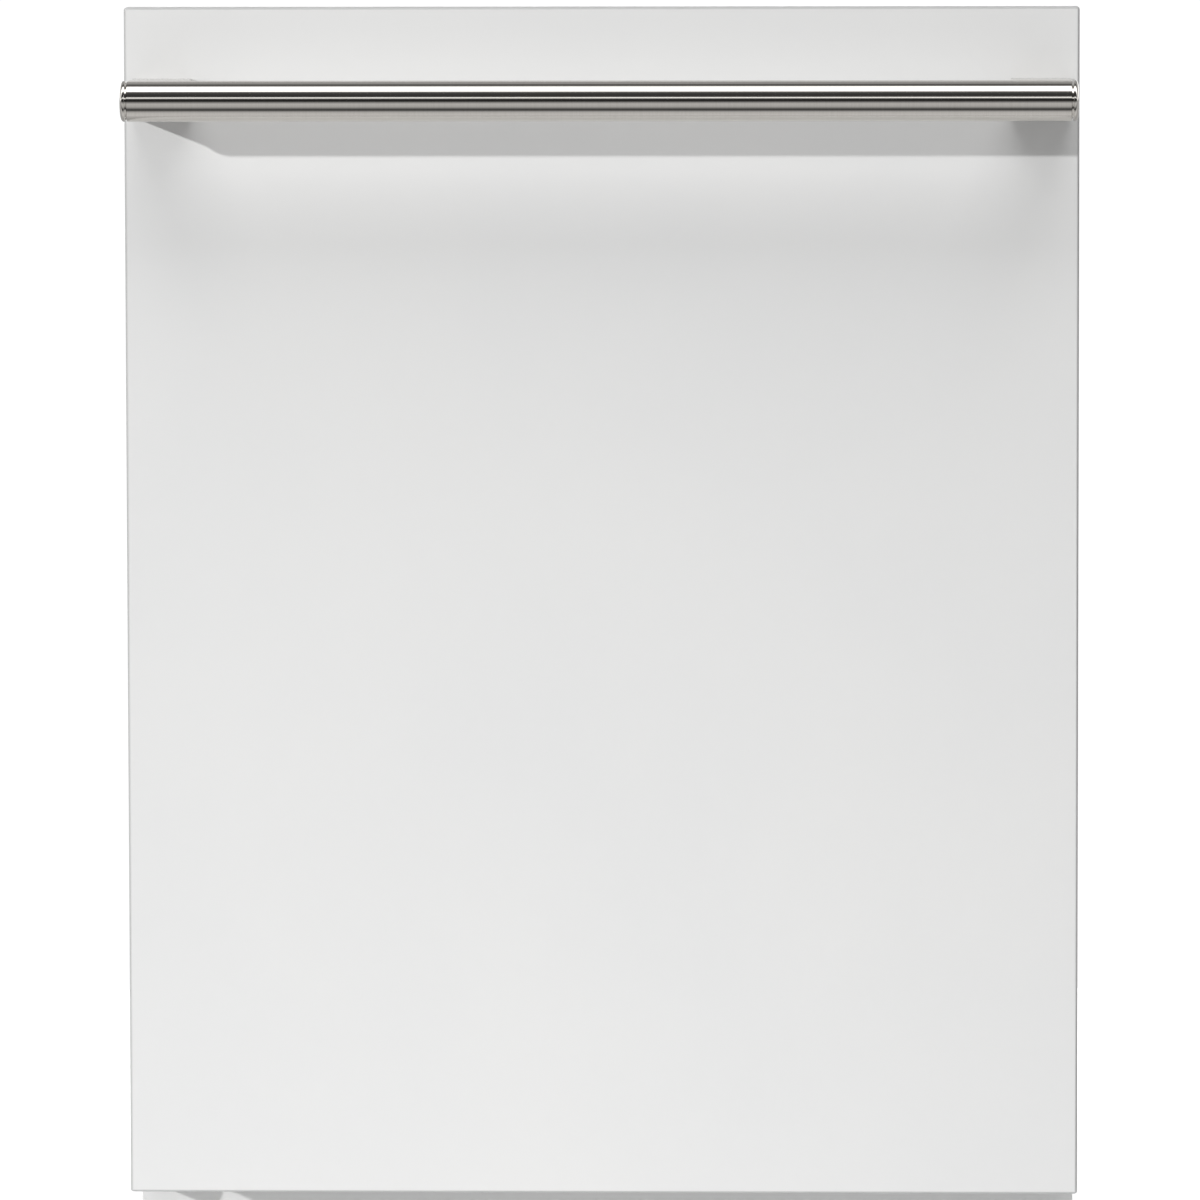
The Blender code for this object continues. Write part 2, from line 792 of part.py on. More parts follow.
def door_inner_liner():
    """The steel pan on the inside of the door, with openings for the dispenser and the strike."""
    back = PANEL_BACK + 0.0005
    piece = block("door_inner_liner", (-LINER_HALF, back, LINER_BOTTOM), (LINER_HALF, LINER_RIM, LINER_TOP))
    middle = block("middle", (-0.255, back + 0.002, 0.176), (0.255, LINER_INSIDE, 0.806))
    round_edges(middle, 0.006, 2)
    join(piece, middle)
    sheet = 0.0015
    low = (-LINER_HALF + sheet, back - 0.01, LINER_BOTTOM + sheet)
    high = (LINER_HALF - sheet, LINER_RIM - sheet, LINER_TOP - sheet)
    cut(piece, block("hollow", low, high))
    low = (-0.251, LINER_RIM - 0.002, 0.180)
    high = (0.251, LINER_INSIDE - sheet, 0.802)
    cut(piece, block("middle_hollow", low, high))
    opening = rounded_outline((-0.0805, 0.3695), (0.0905, 0.4705), 0.008, 3)
    cut(piece, prism("dispenser_hole", opening, "Y", -0.24, -0.20))
    cut(piece, block("strike_hole", (-0.014, -0.24, 0.8325), (0.014, -0.20, 0.8425)))
    return finish(piece, "bright_steel")


def control_housing():
    """The plastic strip along the top of the door that holds the buttons."""
    low = LINER_TOP + GAP
    y = (PANEL_BACK + 0.0005, LINER_RIM)
    top = CONTROL_TOP
    piece = block("control_housing", (-LINER_HALF, y[0], low), (LINER_HALF, y[1], top))
    round_edges(piece, 0.0012)
    cut(piece, block("hollow", (-0.282, y[0] + 0.002, low - 0.01), (0.282, y[1] - 0.002, top - 0.002)))
    for x in button_places():
        opening = rounded_outline((x - 0.0103, -0.2473), (x + 0.0103, -0.2327), 0.003, 3)
        cut(piece, prism("button_hole", opening, "Z", 0.84, 0.87))
    opening = rounded_outline((-0.0403, -0.2473), (0.0403, -0.2327), 0.002, 2)
    cut(piece, prism("window_hole", opening, "Z", 0.84, 0.87))
    return finish(piece, "black_plastic")


def button_places():
    return (-0.200, -0.130, 0.130, 0.200)


def display_window():
    outline = rounded_outline((-0.040, -0.247), (0.040, -0.233), 0.002, 2)
    piece = prism("display_window", outline, "Z", CONTROL_TOP - 0.0026, CONTROL_TOP - 0.0001)
    return finish(piece, "dark_glass")


def button(x, name):
    outline = rounded_outline((x - 0.010, -0.247), (x + 0.010, -0.233), 0.003, 3)
    piece = prism(name, outline, "Z", CONTROL_TOP - 0.0056, CONTROL_TOP + 0.0010)
    set_origin(piece, (x, -0.240, CONTROL_TOP))
    return finish(piece, "grey_plastic")


def handle_tube():
    inner = BAR_RADIUS - 0.0015
    profile = (
        (inner, -BAR_HALF),
        (BAR_RADIUS, -BAR_HALF),
        (BAR_RADIUS, BAR_HALF),
        (inner, BAR_HALF),
    )
    return finish(turned("handle_tube", profile, (0.0, BAR_Y, BAR_Z), "X", 40), "brushed_steel")


def handle_end_cap(side, name):
    """A domed plug in one end of the bar."""
    inside = BAR_HALF - 0.010
    face = BAR_HALF + GAP
    end = BAR_HALF + CAP_LENGTH
    profile = (
        (0.0, side * inside),
        (0.0108, side * inside),
        (0.0108, side * face),
        (BAR_RADIUS, side * face),
        (BAR_RADIUS, side * (face + 0.0012)),
        (BAR_RADIUS - 0.0012, side * (end - 0.0012)),
        (0.0080, side * (end - 0.0003)),
        (0.0, side * end),
    )
    return finish(turned(name, profile, (0.0, BAR_Y, BAR_Z), "X", 40), "brushed_steel")


def handle_post(side, name):
    """The block that holds one end of the bar off the door."""
    x = sorted((side * (POST_OUTSIDE - POST_WIDTH), side * POST_OUTSIDE))
    half = 0.0122
    piece = block(name, (x[0], BAR_Y + 0.0055, BAR_Z - half), (x[1], PANEL_FRONT - GAP, BAR_Z + half))
    round_edges(piece, 0.0008)
    cut(piece, rod("saddle", BAR_RADIUS + 0.0002, (0.0, BAR_Y, BAR_Z), "X", -0.3, 0.3, 40))
    return finish(piece, "brushed_steel")


def detergent_dispenser():
    """The dispenser let into the inside of the door, with an open cup on one side."""
    face = LINER_INSIDE + 0.0003
    outline = rounded_outline((-0.080, 0.370), (0.090, 0.470), 0.008, 3)
    piece = prism("detergent_dispenser", outline, "Y", -0.254, face)
    cup = rounded_outline((-0.062, 0.386), (-0.002, 0.454), 0.008, 3)
    cut(piece, prism("cup", cup, "Y", -0.240, -0.20))
    cut(piece, rod("rinse_well", 0.0185, (0.060, 0.0, 0.440), "Y", -0.236, -0.20, 24))
    return finish(piece, "grey_plastic")


def dispenser_lid():
    """The lid that slides sideways off the detergent cup."""
    face = LINER_INSIDE + 0.0006
    outline = rounded_outline((-0.066, 0.382), (0.002, 0.458), 0.006, 3)
    piece = prism("dispenser_lid", outline, "Y", face, face + 0.003)
    join(piece, block("grip", (-0.058, face + 0.001, 0.395), (-0.054, face + 0.007, 0.445)))
    set_origin(piece, (-0.032, face, 0.420))
    return finish(piece, "light_grey_plastic")


def rinse_aid_cap():
    """The cap that turns out of the rinse-aid well."""
    centre = (0.060, 0.0, 0.440)
    profile = (
        (0.0, -0.228),
        (0.0178, -0.228),
        (0.0178, LINER_INSIDE + 0.0006),
        (0.0, LINER_INSIDE + 0.0006),
    )
    piece = turned("rinse_aid_cap", profile, centre, "Y", 24)
    join(piece, block("grip", (0.046, LINER_INSIDE, 0.4375), (0.074, LINER_INSIDE + 0.006, 0.4425)))
    set_origin(piece, (0.060, LINER_INSIDE, 0.440))
    return finish(piece, "light_grey_plastic")


def door_latch():
    """The hook behind the top of the door that rises into the strike's slot."""
    outline = (
        (-0.2560, 0.812),
        (-0.2440, 0.812),
        (-0.2300, 0.822),
        (-0.2300, 0.836),
        (-0.2345, 0.836),
        (-0.2370, 0.828),
        (-0.2480, 0.824),
        (-0.2560, 0.824),
    )
    piece = prism("door_latch", outline, "X", -0.006, 0.006)
    set_origin(piece, (0.0, -0.250, 0.818))
    return finish(piece, "zinc_plate")


def hinge_arm(side, name):
    """The steel plate that joins one side of the door to the pin that it turns on."""
    x = sorted((side * 0.2843, side * 0.2873))
    outline = []
    for step in range(13):
        turn = math.pi + math.pi * step / 12
        outline.append((HINGE.y + 0.011 * math.cos(turn), HINGE.z + 0.010 * math.sin(turn)))
    outline += [(-0.2255, 0.155), (-0.2255, 0.300), (-0.2560, 0.300), (-0.2560, 0.150)]
    piece = prism(name, outline, "X", x[0], x[1])
    join(piece, rod("pin", 0.003, HINGE, "X", side * 0.2855, side * 0.2930, 16))
    return finish(piece, "zinc_plate")


def build_fixed_pieces():
    tub()
    insulation_wrap()
    base_frame()
    toe_kick()
    door_gasket()
    latch_strike()
    sump()
    filter_plate()
    circulation_pump()
    drain_pump()
    inlet_valve()
    junction_box()
    heating_element()
    water_feed_tube()
    for side, word in ((-1, "left"), (1, "right")):
        frame_rail(side, f"frame_rail_{word}")
        hinge_cassette(side, f"hinge_cassette_{word}")


def build_small_movers():
    lower_spray_arm()
    ceiling_sprayer()
    filter_cup()
    float_dome()
    for side, word in ((-1, "left"), (1, "right")):
        levelling_foot(side, -0.148, f"front_foot_{word}")
        levelling_foot(side, 0.298, f"rear_foot_{word}")


def build_racks():
    below = []
    for side, word in ((-1, "left"), (1, "right")):
        below.append(wheel_bracket(side, f"wheel_bracket_{word}"))
        below.append(rack_wheel(side, WHEEL_FRONT_Y, f"front_wheel_{word}"))
        below.append(rack_wheel(side, WHEEL_BACK_Y, f"rear_wheel_{word}"))
    carry("lower_rack_slide", (0.0, 0.0, 0.2), lower_rack(), cutlery_basket(), *below)
    carry("upper_rack_slide", (0.0, 0.0, 0.5), upper_rack(), middle_spray_arm())
    carry("third_rack_slide", (0.0, 0.0, 0.75), third_rack())
    for z, word in ((0.536, "upper"), (0.754, "third")):
        left = rack_rail(-1, z, f"{word}_rail_left")
        right = rack_rail(1, z, f"{word}_rail_right")
        carry(f"{word}_rails_slide", (0.0, 0.0, z), left, right)


def build_door():
    names = ("power", "program", "delay", "start")
    buttons = [button(x, f"{name}_button") for x, name in zip(button_places(), names)]
    pieces = [
        door_outer_panel(),
        door_inner_liner(),
        control_housing(),
        display_window(),
        handle_tube(),
        detergent_dispenser(),
        dispenser_lid(),
        rinse_aid_cap(),
        door_latch(),
    ]
    for side, word in ((-1, "left"), (1, "right")):
        pieces.append(handle_end_cap(side, f"handle_end_cap_{word}"))
        pieces.append(handle_post(side, f"handle_post_{word}"))
        pieces.append(hinge_arm(side, f"hinge_arm_{word}"))
    carry("door_hinge", HINGE, *buttons, *pieces)


def main():
    for old in list(bpy.data.objects):
        bpy.data.objects.remove(old, do_unlink=True)
    build_fixed_pieces()
    build_small_movers()
    build_racks()
    build_door()


main()
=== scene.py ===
"""The looks of the built-in dishwasher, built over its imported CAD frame.

Metres, +Z up, and the door faces -Y. Round, wired and pressed pieces are rebuilt finely here and
stand for their CAD nodes. The flat pieces keep their CAD shape and get a finished material.
"""

import math

import bmesh
import bpy
from mathutils import Matrix, Vector


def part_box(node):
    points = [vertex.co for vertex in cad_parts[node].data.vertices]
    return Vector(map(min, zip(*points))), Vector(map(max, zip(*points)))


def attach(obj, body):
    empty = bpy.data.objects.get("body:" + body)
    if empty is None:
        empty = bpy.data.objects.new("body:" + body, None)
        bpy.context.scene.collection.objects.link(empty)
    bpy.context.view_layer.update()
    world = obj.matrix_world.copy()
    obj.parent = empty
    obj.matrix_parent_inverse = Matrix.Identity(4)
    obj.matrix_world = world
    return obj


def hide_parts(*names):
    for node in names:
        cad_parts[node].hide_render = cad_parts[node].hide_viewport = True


SIDES = ((-1, "left"), (1, "right"))
HINGE = Vector((0.0, -0.222, 0.124))
ARM_Y = 0.020  # the spray arms all turn about this line
WIRE = 0.0022  # radius of the thick rack wire
THIN_WIRE = 0.0015
TUB_FRONT = -0.205
LINER_RIM = -0.222  # the face of the door's liner that meets the seal
LINER_INSIDE = -0.212  # the liner's raised middle

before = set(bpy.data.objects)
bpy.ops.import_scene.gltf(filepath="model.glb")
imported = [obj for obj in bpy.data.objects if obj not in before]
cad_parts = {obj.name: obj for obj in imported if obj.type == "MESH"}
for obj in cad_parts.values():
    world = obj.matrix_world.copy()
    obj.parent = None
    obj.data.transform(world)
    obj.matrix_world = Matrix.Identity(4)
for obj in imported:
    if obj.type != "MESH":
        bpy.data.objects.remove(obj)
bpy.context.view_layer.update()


# Materials


def math_node(tree, operation, first, second=0.0):
    """A sum or function of two values, each a number or another node's output."""
    node = tree.nodes.new("ShaderNodeMath")
    node.operation = operation
    for value, socket in zip((first, second), node.inputs):
        if isinstance(value, float):
            socket.default_value = value
        else:
            tree.links.new(value, socket)
    return node.outputs["Value"]


class Look:
    """A Principled material that is built up one effect at a time."""

    def __init__(self, name, colour, roughness, metallic=0.0):
        self.material = bpy.data.materials.new(name)
        self.material.use_nodes = True
        self.tree = self.material.node_tree
        self.shader = self.tree.nodes["Principled BSDF"]
        self.shader.inputs["Base Color"].default_value = (*colour, 1.0)
        self.shader.inputs["Roughness"].default_value = roughness
        self.shader.inputs["Metallic"].default_value = metallic
        self.place = self.tree.nodes.new("ShaderNodeTexCoord").outputs["Object"]
        self.colour = None
        self.plain = colour
        self.normal = None

    def link(self, output, socket):
        self.tree.links.new(output, socket)

    def set(self, socket, value):
        self.shader.inputs[socket].default_value = value
        return self

    def stretched(self, stretch):
        mapping = self.tree.nodes.new("ShaderNodeMapping")
        mapping.inputs["Scale"].default_value = stretch
        self.link(self.place, mapping.inputs["Vector"])
        return mapping.outputs["Vector"]

    def noise(self, scale, stretch=(1.0, 1.0, 1.0), detail=3.0):
        node = self.tree.nodes.new("ShaderNodeTexNoise")
        node.inputs["Scale"].default_value = scale
        node.inputs["Detail"].default_value = detail
        self.link(self.stretched(stretch), node.inputs["Vector"])
        return node.outputs["Fac"]

    def cells(self, scale):
        node = self.tree.nodes.new("ShaderNodeTexVoronoi")
        node.inputs["Scale"].default_value = scale
        self.link(self.place, node.inputs["Vector"])
        return node.outputs["Distance"]

    def along(self, axis):
        """One coordinate of the surface, in metres."""
        split = self.tree.nodes.new("ShaderNodeSeparateXYZ")
        self.link(self.place, split.inputs["Vector"])
        return split.outputs[axis]

    def math(self, operation, first, second=0.0):
        return math_node(self.tree, operation, first, second)

    def wave(self, axis, rate):
        """The size of a sine wave along an axis."""
        angle = self.math("MULTIPLY", self.along(axis), rate)
        return self.math("ABSOLUTE", self.math("SINE", angle))

    def span(self, value, start, end, low=0.0, high=1.0):
        """Spread value smoothly from low to high as it goes from start to end."""
        node = self.tree.nodes.new("ShaderNodeMapRange")
        node.interpolation_type = "SMOOTHSTEP"
        ends = {"From Min": start, "From Max": end, "To Min": low, "To Max": high}
        for name, number in ends.items():
            node.inputs[name].default_value = number
        self.link(value, node.inputs["Value"])
        return node.outputs["Result"]

    def tint(self, share, other):
        """Mix another colour into the material's colour by a share from 0 to 1."""
        node = self.tree.nodes.new("ShaderNodeMix")
        node.data_type = "RGBA"
        self.link(share, node.inputs["Factor"])
        if self.colour is None:
            node.inputs[6].default_value = (*self.plain, 1.0)
        else:
            self.link(self.colour, node.inputs[6])
        node.inputs[7].default_value = (*other, 1.0)
        self.colour = node.outputs[2]
        self.link(self.colour, self.shader.inputs["Base Color"])
        return self

    def mottle(self, other, scale, start, end, most=1.0, **noise):
        """Mix in another colour where a noise rises from start to end."""
        return self.tint(self.span(self.noise(scale, **noise), start, end, 0.0, most), other)

    def shine(self, share, low, high):
        """Let the roughness go from low to high with a share."""
        self.link(self.span(share, 0.25, 0.75, low, high), self.shader.inputs["Roughness"])
        return self

    def relief(self, height, distance, strength):
        """Add a bump of so many metres."""
        node = self.tree.nodes.new("ShaderNodeBump")
        node.inputs["Distance"].default_value = distance
        node.inputs["Strength"].default_value = strength
        self.link(height, node.inputs["Height"])
        if self.normal is not None:
            self.link(self.normal, node.inputs["Normal"])
        self.normal = node.outputs["Normal"]
        self.link(self.normal, self.shader.inputs["Normal"])
        return self


def satin_enamel(name):
    look = Look(name, (0.80, 0.80, 0.795), 0.42)
    look.mottle((0.785, 0.787, 0.785), 5.0, 0.35, 0.75)
    # Darker towards the bottom, in the lowest 30 mm above the floor.
    look.tint(look.span(look.along("Z"), 0.030, 0.0), (0.60, 0.59, 0.57))
    look.shine(look.noise(26.0), 0.38, 0.46)
    look.relief(look.noise(520.0, detail=2.0), 0.00002, 0.35)
    look.relief(look.noise(9.0, detail=1.0), 0.0004, 0.10)
    look.set("Coat Weight", 0.12)
    look.set("Coat Roughness", 0.30)
    return look


def panel_enamel():
    """The door's enamel, with painted shade: a grey line round its folded edges."""
    look = satin_enamel("panel_enamel")
    sides = look.span(look.math("ABSOLUTE", look.along("X")), 0.2966, 0.2980)
    top = look.span(look.along("Z"), 0.8552, 0.8564)
    bottom = look.span(look.along("Z"), 0.1118, 0.1106)
    painted_edge_shade = look.math("MAXIMUM", look.math("MAXIMUM", sides, top), bottom)
    # Painted shade: a grey line round the panel's folded edges, where less light reaches.
    look.tint(painted_edge_shade, (0.48, 0.48, 0.48))
    return look.material


def brushed_bar():
    look = Look("brushed_bar", (0.64, 0.615, 0.58), 0.08, 1.0)
    rings = look.noise(60.0, (30.0, 1.0, 1.0), 6.0)
    look.tint(look.span(rings, 0.35, 0.70), (0.615, 0.59, 0.555))
    look.mottle((0.66, 0.64, 0.61), 35.0, 0.45, 0.80, 0.5, stretch=(0.2, 1.0, 1.0))
    look.shine(look.noise(80.0, (22.0, 1.0, 1.0), 5.0), 0.05, 0.10)
    look.relief(rings, 0.000006, 0.4)
    return look.material


def drawn_steel(name, grain, colour, rough):
    """Bright sheet steel with its rolling marks along one way, and scattered water marks."""
    look = Look(name, colour, 0.3, 1.0)
    streaks = look.noise(14.0, grain, 6.0)
    look.tint(look.span(streaks, 0.30, 0.75), tuple(0.86 * c for c in colour))
    look.mottle(tuple(0.78 * c for c in colour), 22.0, 0.58, 0.80, 0.35)
    look.shine(streaks, *rough)
    look.relief(streaks, 0.00003, 0.35)
    return look


def tub_steel():
    """Sheet steel with pressed ribs on the walls outside and inside."""
    look = drawn_steel("tub_steel", (1.0, 1.0, 40.0), (0.72, 0.72, 0.71), (0.28, 0.40))
    columns = look.span(look.wave("X", 34.0), 0.25, 0.60)
    ribs = look.math("MULTIPLY", columns, look.span(look.wave("Z", 27.0), 0.20, 0.50))
    look.relief(ribs, 0.004, 0.55)
    look.relief(look.noise(7.0, detail=1.0), 0.002, 0.25)
    return look.material


def liner_steel():
    look = drawn_steel("liner_steel", (34.0, 1.0, 1.0), (0.72, 0.72, 0.71), (0.24, 0.34))
    look.relief(look.noise(6.0, detail=1.0), 0.0015, 0.25)
    return look.material


def zinc_plate():
    look = Look("zinc_plate", (0.50, 0.52, 0.54), 0.42, 1.0)
    look.tint(look.span(look.cells(150.0), 0.10, 0.75), (0.62, 0.64, 0.66))
    look.mottle((0.36, 0.37, 0.38), 40.0, 0.55, 0.80, 0.7)
    look.shine(look.noise(70.0), 0.34, 0.52)
    look.relief(look.noise(420.0), 0.00003, 0.5)
    return look.material


def sieve_steel():
    """Fine perforated steel for the filters."""
    look = drawn_steel("sieve_steel", (1.0, 30.0, 1.0), (0.58, 0.58, 0.57), (0.24, 0.36))
    holes = look.math("MULTIPLY", look.wave("X", 900.0), look.wave("Y", 900.0))
    # Painted shade: the holes are painted nearly black for the dark seen through them.
    look.tint(look.span(holes, 0.55, 0.70), (0.05, 0.05, 0.05))
    look.relief(look.span(holes, 0.40, 0.75), 0.0004, -0.9)
    return look.material


def moulded_plastic(name, colour, roughness):
    """Plastic with a spark-eroded grain, faint flow marks and dulled high spots."""
    look = Look(name, colour, roughness)
    look.mottle(tuple(1.12 * c + 0.004 for c in colour), 12.0, 0.40, 0.75)
    look.mottle(tuple(0.80 * c for c in colour), 130.0, 0.62, 0.82, 0.4)
    look.shine(look.noise(55.0), roughness - 0.06, roughness + 0.08)
    look.relief(look.cells(1400.0), 0.00005, 0.5)
    look.set("Specular IOR Level", 0.4)
    return look.material


def seal_rubber():
    look = Look("seal_rubber", (0.020, 0.020, 0.021), 0.70)
    look.mottle((0.042, 0.042, 0.043), 90.0, 0.50, 0.80)
    look.shine(look.noise(45.0), 0.58, 0.78)
    look.relief(look.noise(700.0), 0.00006, 0.5)
    look.set("Sheen Weight", 0.12)
    return look.material


def nylon_coat():
    look = Look("nylon_coat", (0.30, 0.335, 0.375), 0.36)
    look.mottle((0.35, 0.385, 0.425), 60.0, 0.40, 0.75)
    look.shine(look.noise(90.0), 0.30, 0.44)
    look.relief(look.noise(650.0), 0.00006, 0.55)
    look.set("Coat Weight", 0.25)
    look.set("Coat Roughness", 0.25)
    return look.material


def black_coat():
    """Black coated steel with small rubbed spots."""
    look = Look("black_coat", (0.022, 0.022, 0.024), 0.38)
    look.mottle((0.16, 0.16, 0.16), 180.0, 0.62, 0.80, 0.6)
    look.shine(look.noise(70.0), 0.32, 0.50)
    look.relief(look.noise(600.0), 0.00004, 0.5)
    look.set("Coat Weight", 0.2)
    return look.material


def heater_steel():
    look = Look("heater_steel", (0.42, 0.40, 0.37), 0.36, 1.0)
    look.mottle((0.33, 0.27, 0.20), 45.0, 0.45, 0.75)
    look.mottle((0.62, 0.61, 0.58), 160.0, 0.60, 0.80, 0.8)
    look.shine(look.noise(60.0), 0.28, 0.50)
    look.relief(look.noise(500.0), 0.00004, 0.5)
    return look.material


def window_glass():
    look = Look("window_glass", (0.008, 0.009, 0.011), 0.06)
    look.tint(look.span(look.cells(240.0), 0.0, 0.08), (0.02, 0.05, 0.06))
    look.shine(look.noise(30.0), 0.04, 0.10)
    look.set("Coat Weight", 0.6)
    return look.material


def pressed_felt():
    """Grey fibre mat with matted tufts."""
    look = Look("pressed_felt", (0.085, 0.085, 0.090), 0.95)
    fibres = look.noise(170.0, (1.0, 3.0, 1.0), 8.0)
    look.tint(look.span(fibres, 0.40, 0.70), (0.19, 0.19, 0.20))
    look.mottle((0.34, 0.33, 0.35), 900.0, 0.62, 0.72, 0.8, detail=2.0)
    look.mottle((0.060, 0.060, 0.066), 8.0, 0.50, 0.75, 0.6)
    look.relief(fibres, 0.0012, 0.8)
    look.relief(look.noise(14.0, detail=1.0), 0.004, 0.3)
    look.set("Sheen Weight", 0.4)
    look.set("Sheen Roughness", 0.6)
    return look.material


def foil_tape():
    look = Look("foil_tape", (0.66, 0.66, 0.66), 0.30, 1.0)
    creases = look.noise(38.0, (1.0, 2.0, 1.0), 5.0)
    look.tint(look.span(creases, 0.45, 0.70), (0.50, 0.50, 0.50))
    look.shine(creases, 0.22, 0.42)
    look.relief(creases, 0.0010, 0.7)
    return look.material


LOOKS = {
    "enamel": satin_enamel("satin_enamel").material,
    "panel": panel_enamel(),
    "brushed_steel": brushed_bar(),
    "tub": tub_steel(),
    "steel": liner_steel(),
    "sieve": sieve_steel(),
    "zinc": zinc_plate(),
    "black_plastic": moulded_plastic("black_moulding", (0.026, 0.027, 0.029), 0.50),
    "grey_plastic": moulded_plastic("grey_moulding", (0.235, 0.245, 0.26), 0.46),
    "pale_plastic": moulded_plastic("pale_moulding", (0.50, 0.52, 0.54), 0.42),
    "rubber": seal_rubber(),
    "rack_coat": nylon_coat(),
    "foot_steel": black_coat(),
    "heater": heater_steel(),
    "dark_glass": window_glass(),
    "felt": pressed_felt(),
    "foil": foil_tape(),
}


# Mesh code


def add_piece(piece, look, body, nodes=(), smooth_angle=40.0):
    """Give a new piece its material, body and the CAD nodes that it stands for."""
    piece.data.materials.clear()
    piece.data.materials.append(LOOKS[look])
    piece.data.shade_smooth()
    piece.data.set_sharp_from_angle(angle=math.radians(smooth_angle))
    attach(piece, body)
    if nodes:
        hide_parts(*nodes)
    return piece


def link_object(name, data):
    piece = bpy.data.objects.new(name, data)
    bpy.context.scene.collection.objects.link(piece)
    return piece


def from_bmesh(name, bm):
    bmesh.ops.recalc_face_normals(bm, faces=bm.faces)
    mesh = bpy.data.meshes.new(name)
    bm.to_mesh(mesh)
    bm.free()
    return link_object(name, mesh)


def bevel(piece, width, segments):
    modifier = piece.modifiers.new("bevel", "BEVEL")
    modifier.width = width
    modifier.segments = segments
    modifier.limit_method = "ANGLE"
    modifier.angle_limit = math.radians(35.0)
    settle(piece)


def settle(piece):
    """Replace a mesh by what its modifiers make of it."""
    graph = bpy.context.evaluated_depsgraph_get()
    mesh = bpy.data.meshes.new_from_object(piece.evaluated_get(graph))
    piece.modifiers.clear()
    piece.data = mesh
    return piece


def cut(piece, tool):
    """Take one piece out of another and delete it."""
    modifier = piece.modifiers.new("cut", "BOOLEAN")
    modifier.operation = "DIFFERENCE"
    modifier.solver = "EXACT"
    modifier.object = tool
    settle(piece)
    bpy.data.objects.remove(tool)


def place_point(axis, first, second, along):
    if axis == "X":
        return Vector((along, first, second))
    if axis == "Y":
        return Vector((first, along, second))
    return Vector((first, second, along))


def turned_into(bm, profile, centre, axis, steps):
    """Turn a profile of (radius, distance) about an axis, into a bmesh."""
    centre = Vector(centre)
    rings = []
    for radius, distance in profile:
        if radius == 0.0:
            rings.append([bm.verts.new(centre + place_point(axis, 0.0, 0.0, distance))])
            continue
        ring = []
        for step in range(steps):
            turn = 2 * math.pi * step / steps
            across = (radius * math.cos(turn), radius * math.sin(turn))
            ring.append(bm.verts.new(centre + place_point(axis, *across, distance)))
        rings.append(ring)
    pairs = list(zip(rings, rings[1:]))
    if profile[0][0] > 0.0:
        pairs.append((rings[-1], rings[0]))
    for here, there in pairs:
        for i in range(steps):
            j = (i + 1) % steps
            corners = [here[i % len(here)], here[j % len(here)]]
            corners += [there[j % len(there)], there[i % len(there)]]
            bm.faces.new(list(dict.fromkeys(corners)))


def turned(name, profile, centre, axis, steps=48):
    bm = bmesh.new()
    turned_into(bm, profile, centre, axis, steps)
    return from_bmesh(name, bm)


def block_into(bm, low, high):
    low = Vector(low)
    high = Vector(high)
    place = Matrix.Translation((low + high) / 2) @ Matrix.Diagonal((*(high - low), 1.0))
    bmesh.ops.create_cube(bm, size=1.0, matrix=place)


def blocks(name, boxes, edge=0.0, segments=2):
    """Several boxes in one piece, with round edges."""
    bm = bmesh.new()
    for low, high in boxes:
        block_into(bm, low, high)
    piece = from_bmesh(name, bm)
    if edge:
        bevel(piece, edge, segments)
    return piece


def prism_into(bm, outline, axis, start, end):
    rings = []
    for along in (start, end):
        rings.append([bm.verts.new(place_point(axis, a, b, along)) for a, b in outline])
    bm.faces.new(rings[0])
    bm.faces.new(rings[1])
    for i in range(len(outline)):
        j = (i + 1) % len(outline)
        bm.faces.new((rings[0][i], rings[0][j], rings[1][j], rings[1][i]))


def prism(name, outline, axis, start, end, edge=0.0, segments=2):
    bm = bmesh.new()
    prism_into(bm, outline, axis, start, end)
    piece = from_bmesh(name, bm)
    if edge:
        bevel(piece, edge, segments)
    return piece


def rounded_outline(low, high, radius, steps=6):
    points = []
    for corner in range(4):
        a = high[0] - radius if corner in (0, 3) else low[0] + radius
        b = high[1] - radius if corner in (0, 1) else low[1] + radius
        for step in range(steps + 1):
            turn = math.pi / 2 * (corner + step / steps)
            points.append((a + radius * math.cos(turn), b + radius * math.sin(turn)))
    return points


def round_corners(points, radius, steps=5):
    """A path through the points with its inner corners rounded."""
    path = [Vector(points[0])]
    for before, corner, after in zip(points, points[1:], points[2:]):
        corner = Vector(corner)
        into = Vector(before) - corner
        out = Vector(after) - corner
        reach = min(radius, 0.45 * into.length, 0.45 * out.length)
        start = corner + into.normalized() * reach
        end = corner + out.normalized() * reach
        for step in range(steps + 1):
            t = step / steps
            path.append(start * (1 - t) ** 2 + corner * 2 * t * (1 - t) + end * t**2)
    path.append(Vector(points[-1]))
    return path


def wires(name, paths, radius, closed=False):
    """Round wires along paths, all in one curve piece."""
    curve = bpy.data.curves.new(name, "CURVE")
    curve.dimensions = "3D"
    curve.bevel_depth = radius
    curve.bevel_resolution = 2
    curve.use_fill_caps = True
    for path in paths:
        spline = curve.splines.new("POLY")
        spline.points.add(len(path) - 1)
        for point, place in zip(spline.points, path):
            point.co = (*place, 1.0)
        spline.use_cyclic_u = closed
    piece = link_object(name, curve)
    graph = bpy.context.evaluated_depsgraph_get()
    mesh = bpy.data.meshes.new_from_object(piece.evaluated_get(graph))
    bpy.data.objects.remove(piece)
    return link_object(name, mesh)


def screw_heads(name, places, axis, direction, radius):
    """Domed heads with a cross recess, in one piece."""
    bm = bmesh.new()
    dome = ((0.0, 0.0012), (0.55, 0.0011), (0.85, 0.0008), (1.0, 0.0002), (1.0, 0.0), (0.0, 0.0))
    profile = [(radius * r, direction * h) for r, h in dome]
    for place in places:
        turned_into(bm, profile, place, axis, 20)
    piece = from_bmesh(name, bm)
    slot = radius * 0.16
    arm = radius * 0.60
    for place in places:
        for a, b in ((slot, arm), (arm, slot)):
            low = Vector(place) + place_point(axis, -a, -b, direction * 0.0006)
            high = Vector(place) + place_point(axis, a, b, direction * 0.0030)
            low, high = zip(*(sorted(pair) for pair in zip(low, high)))
            cut(piece, blocks("recess", [(low, high)]))
    return piece


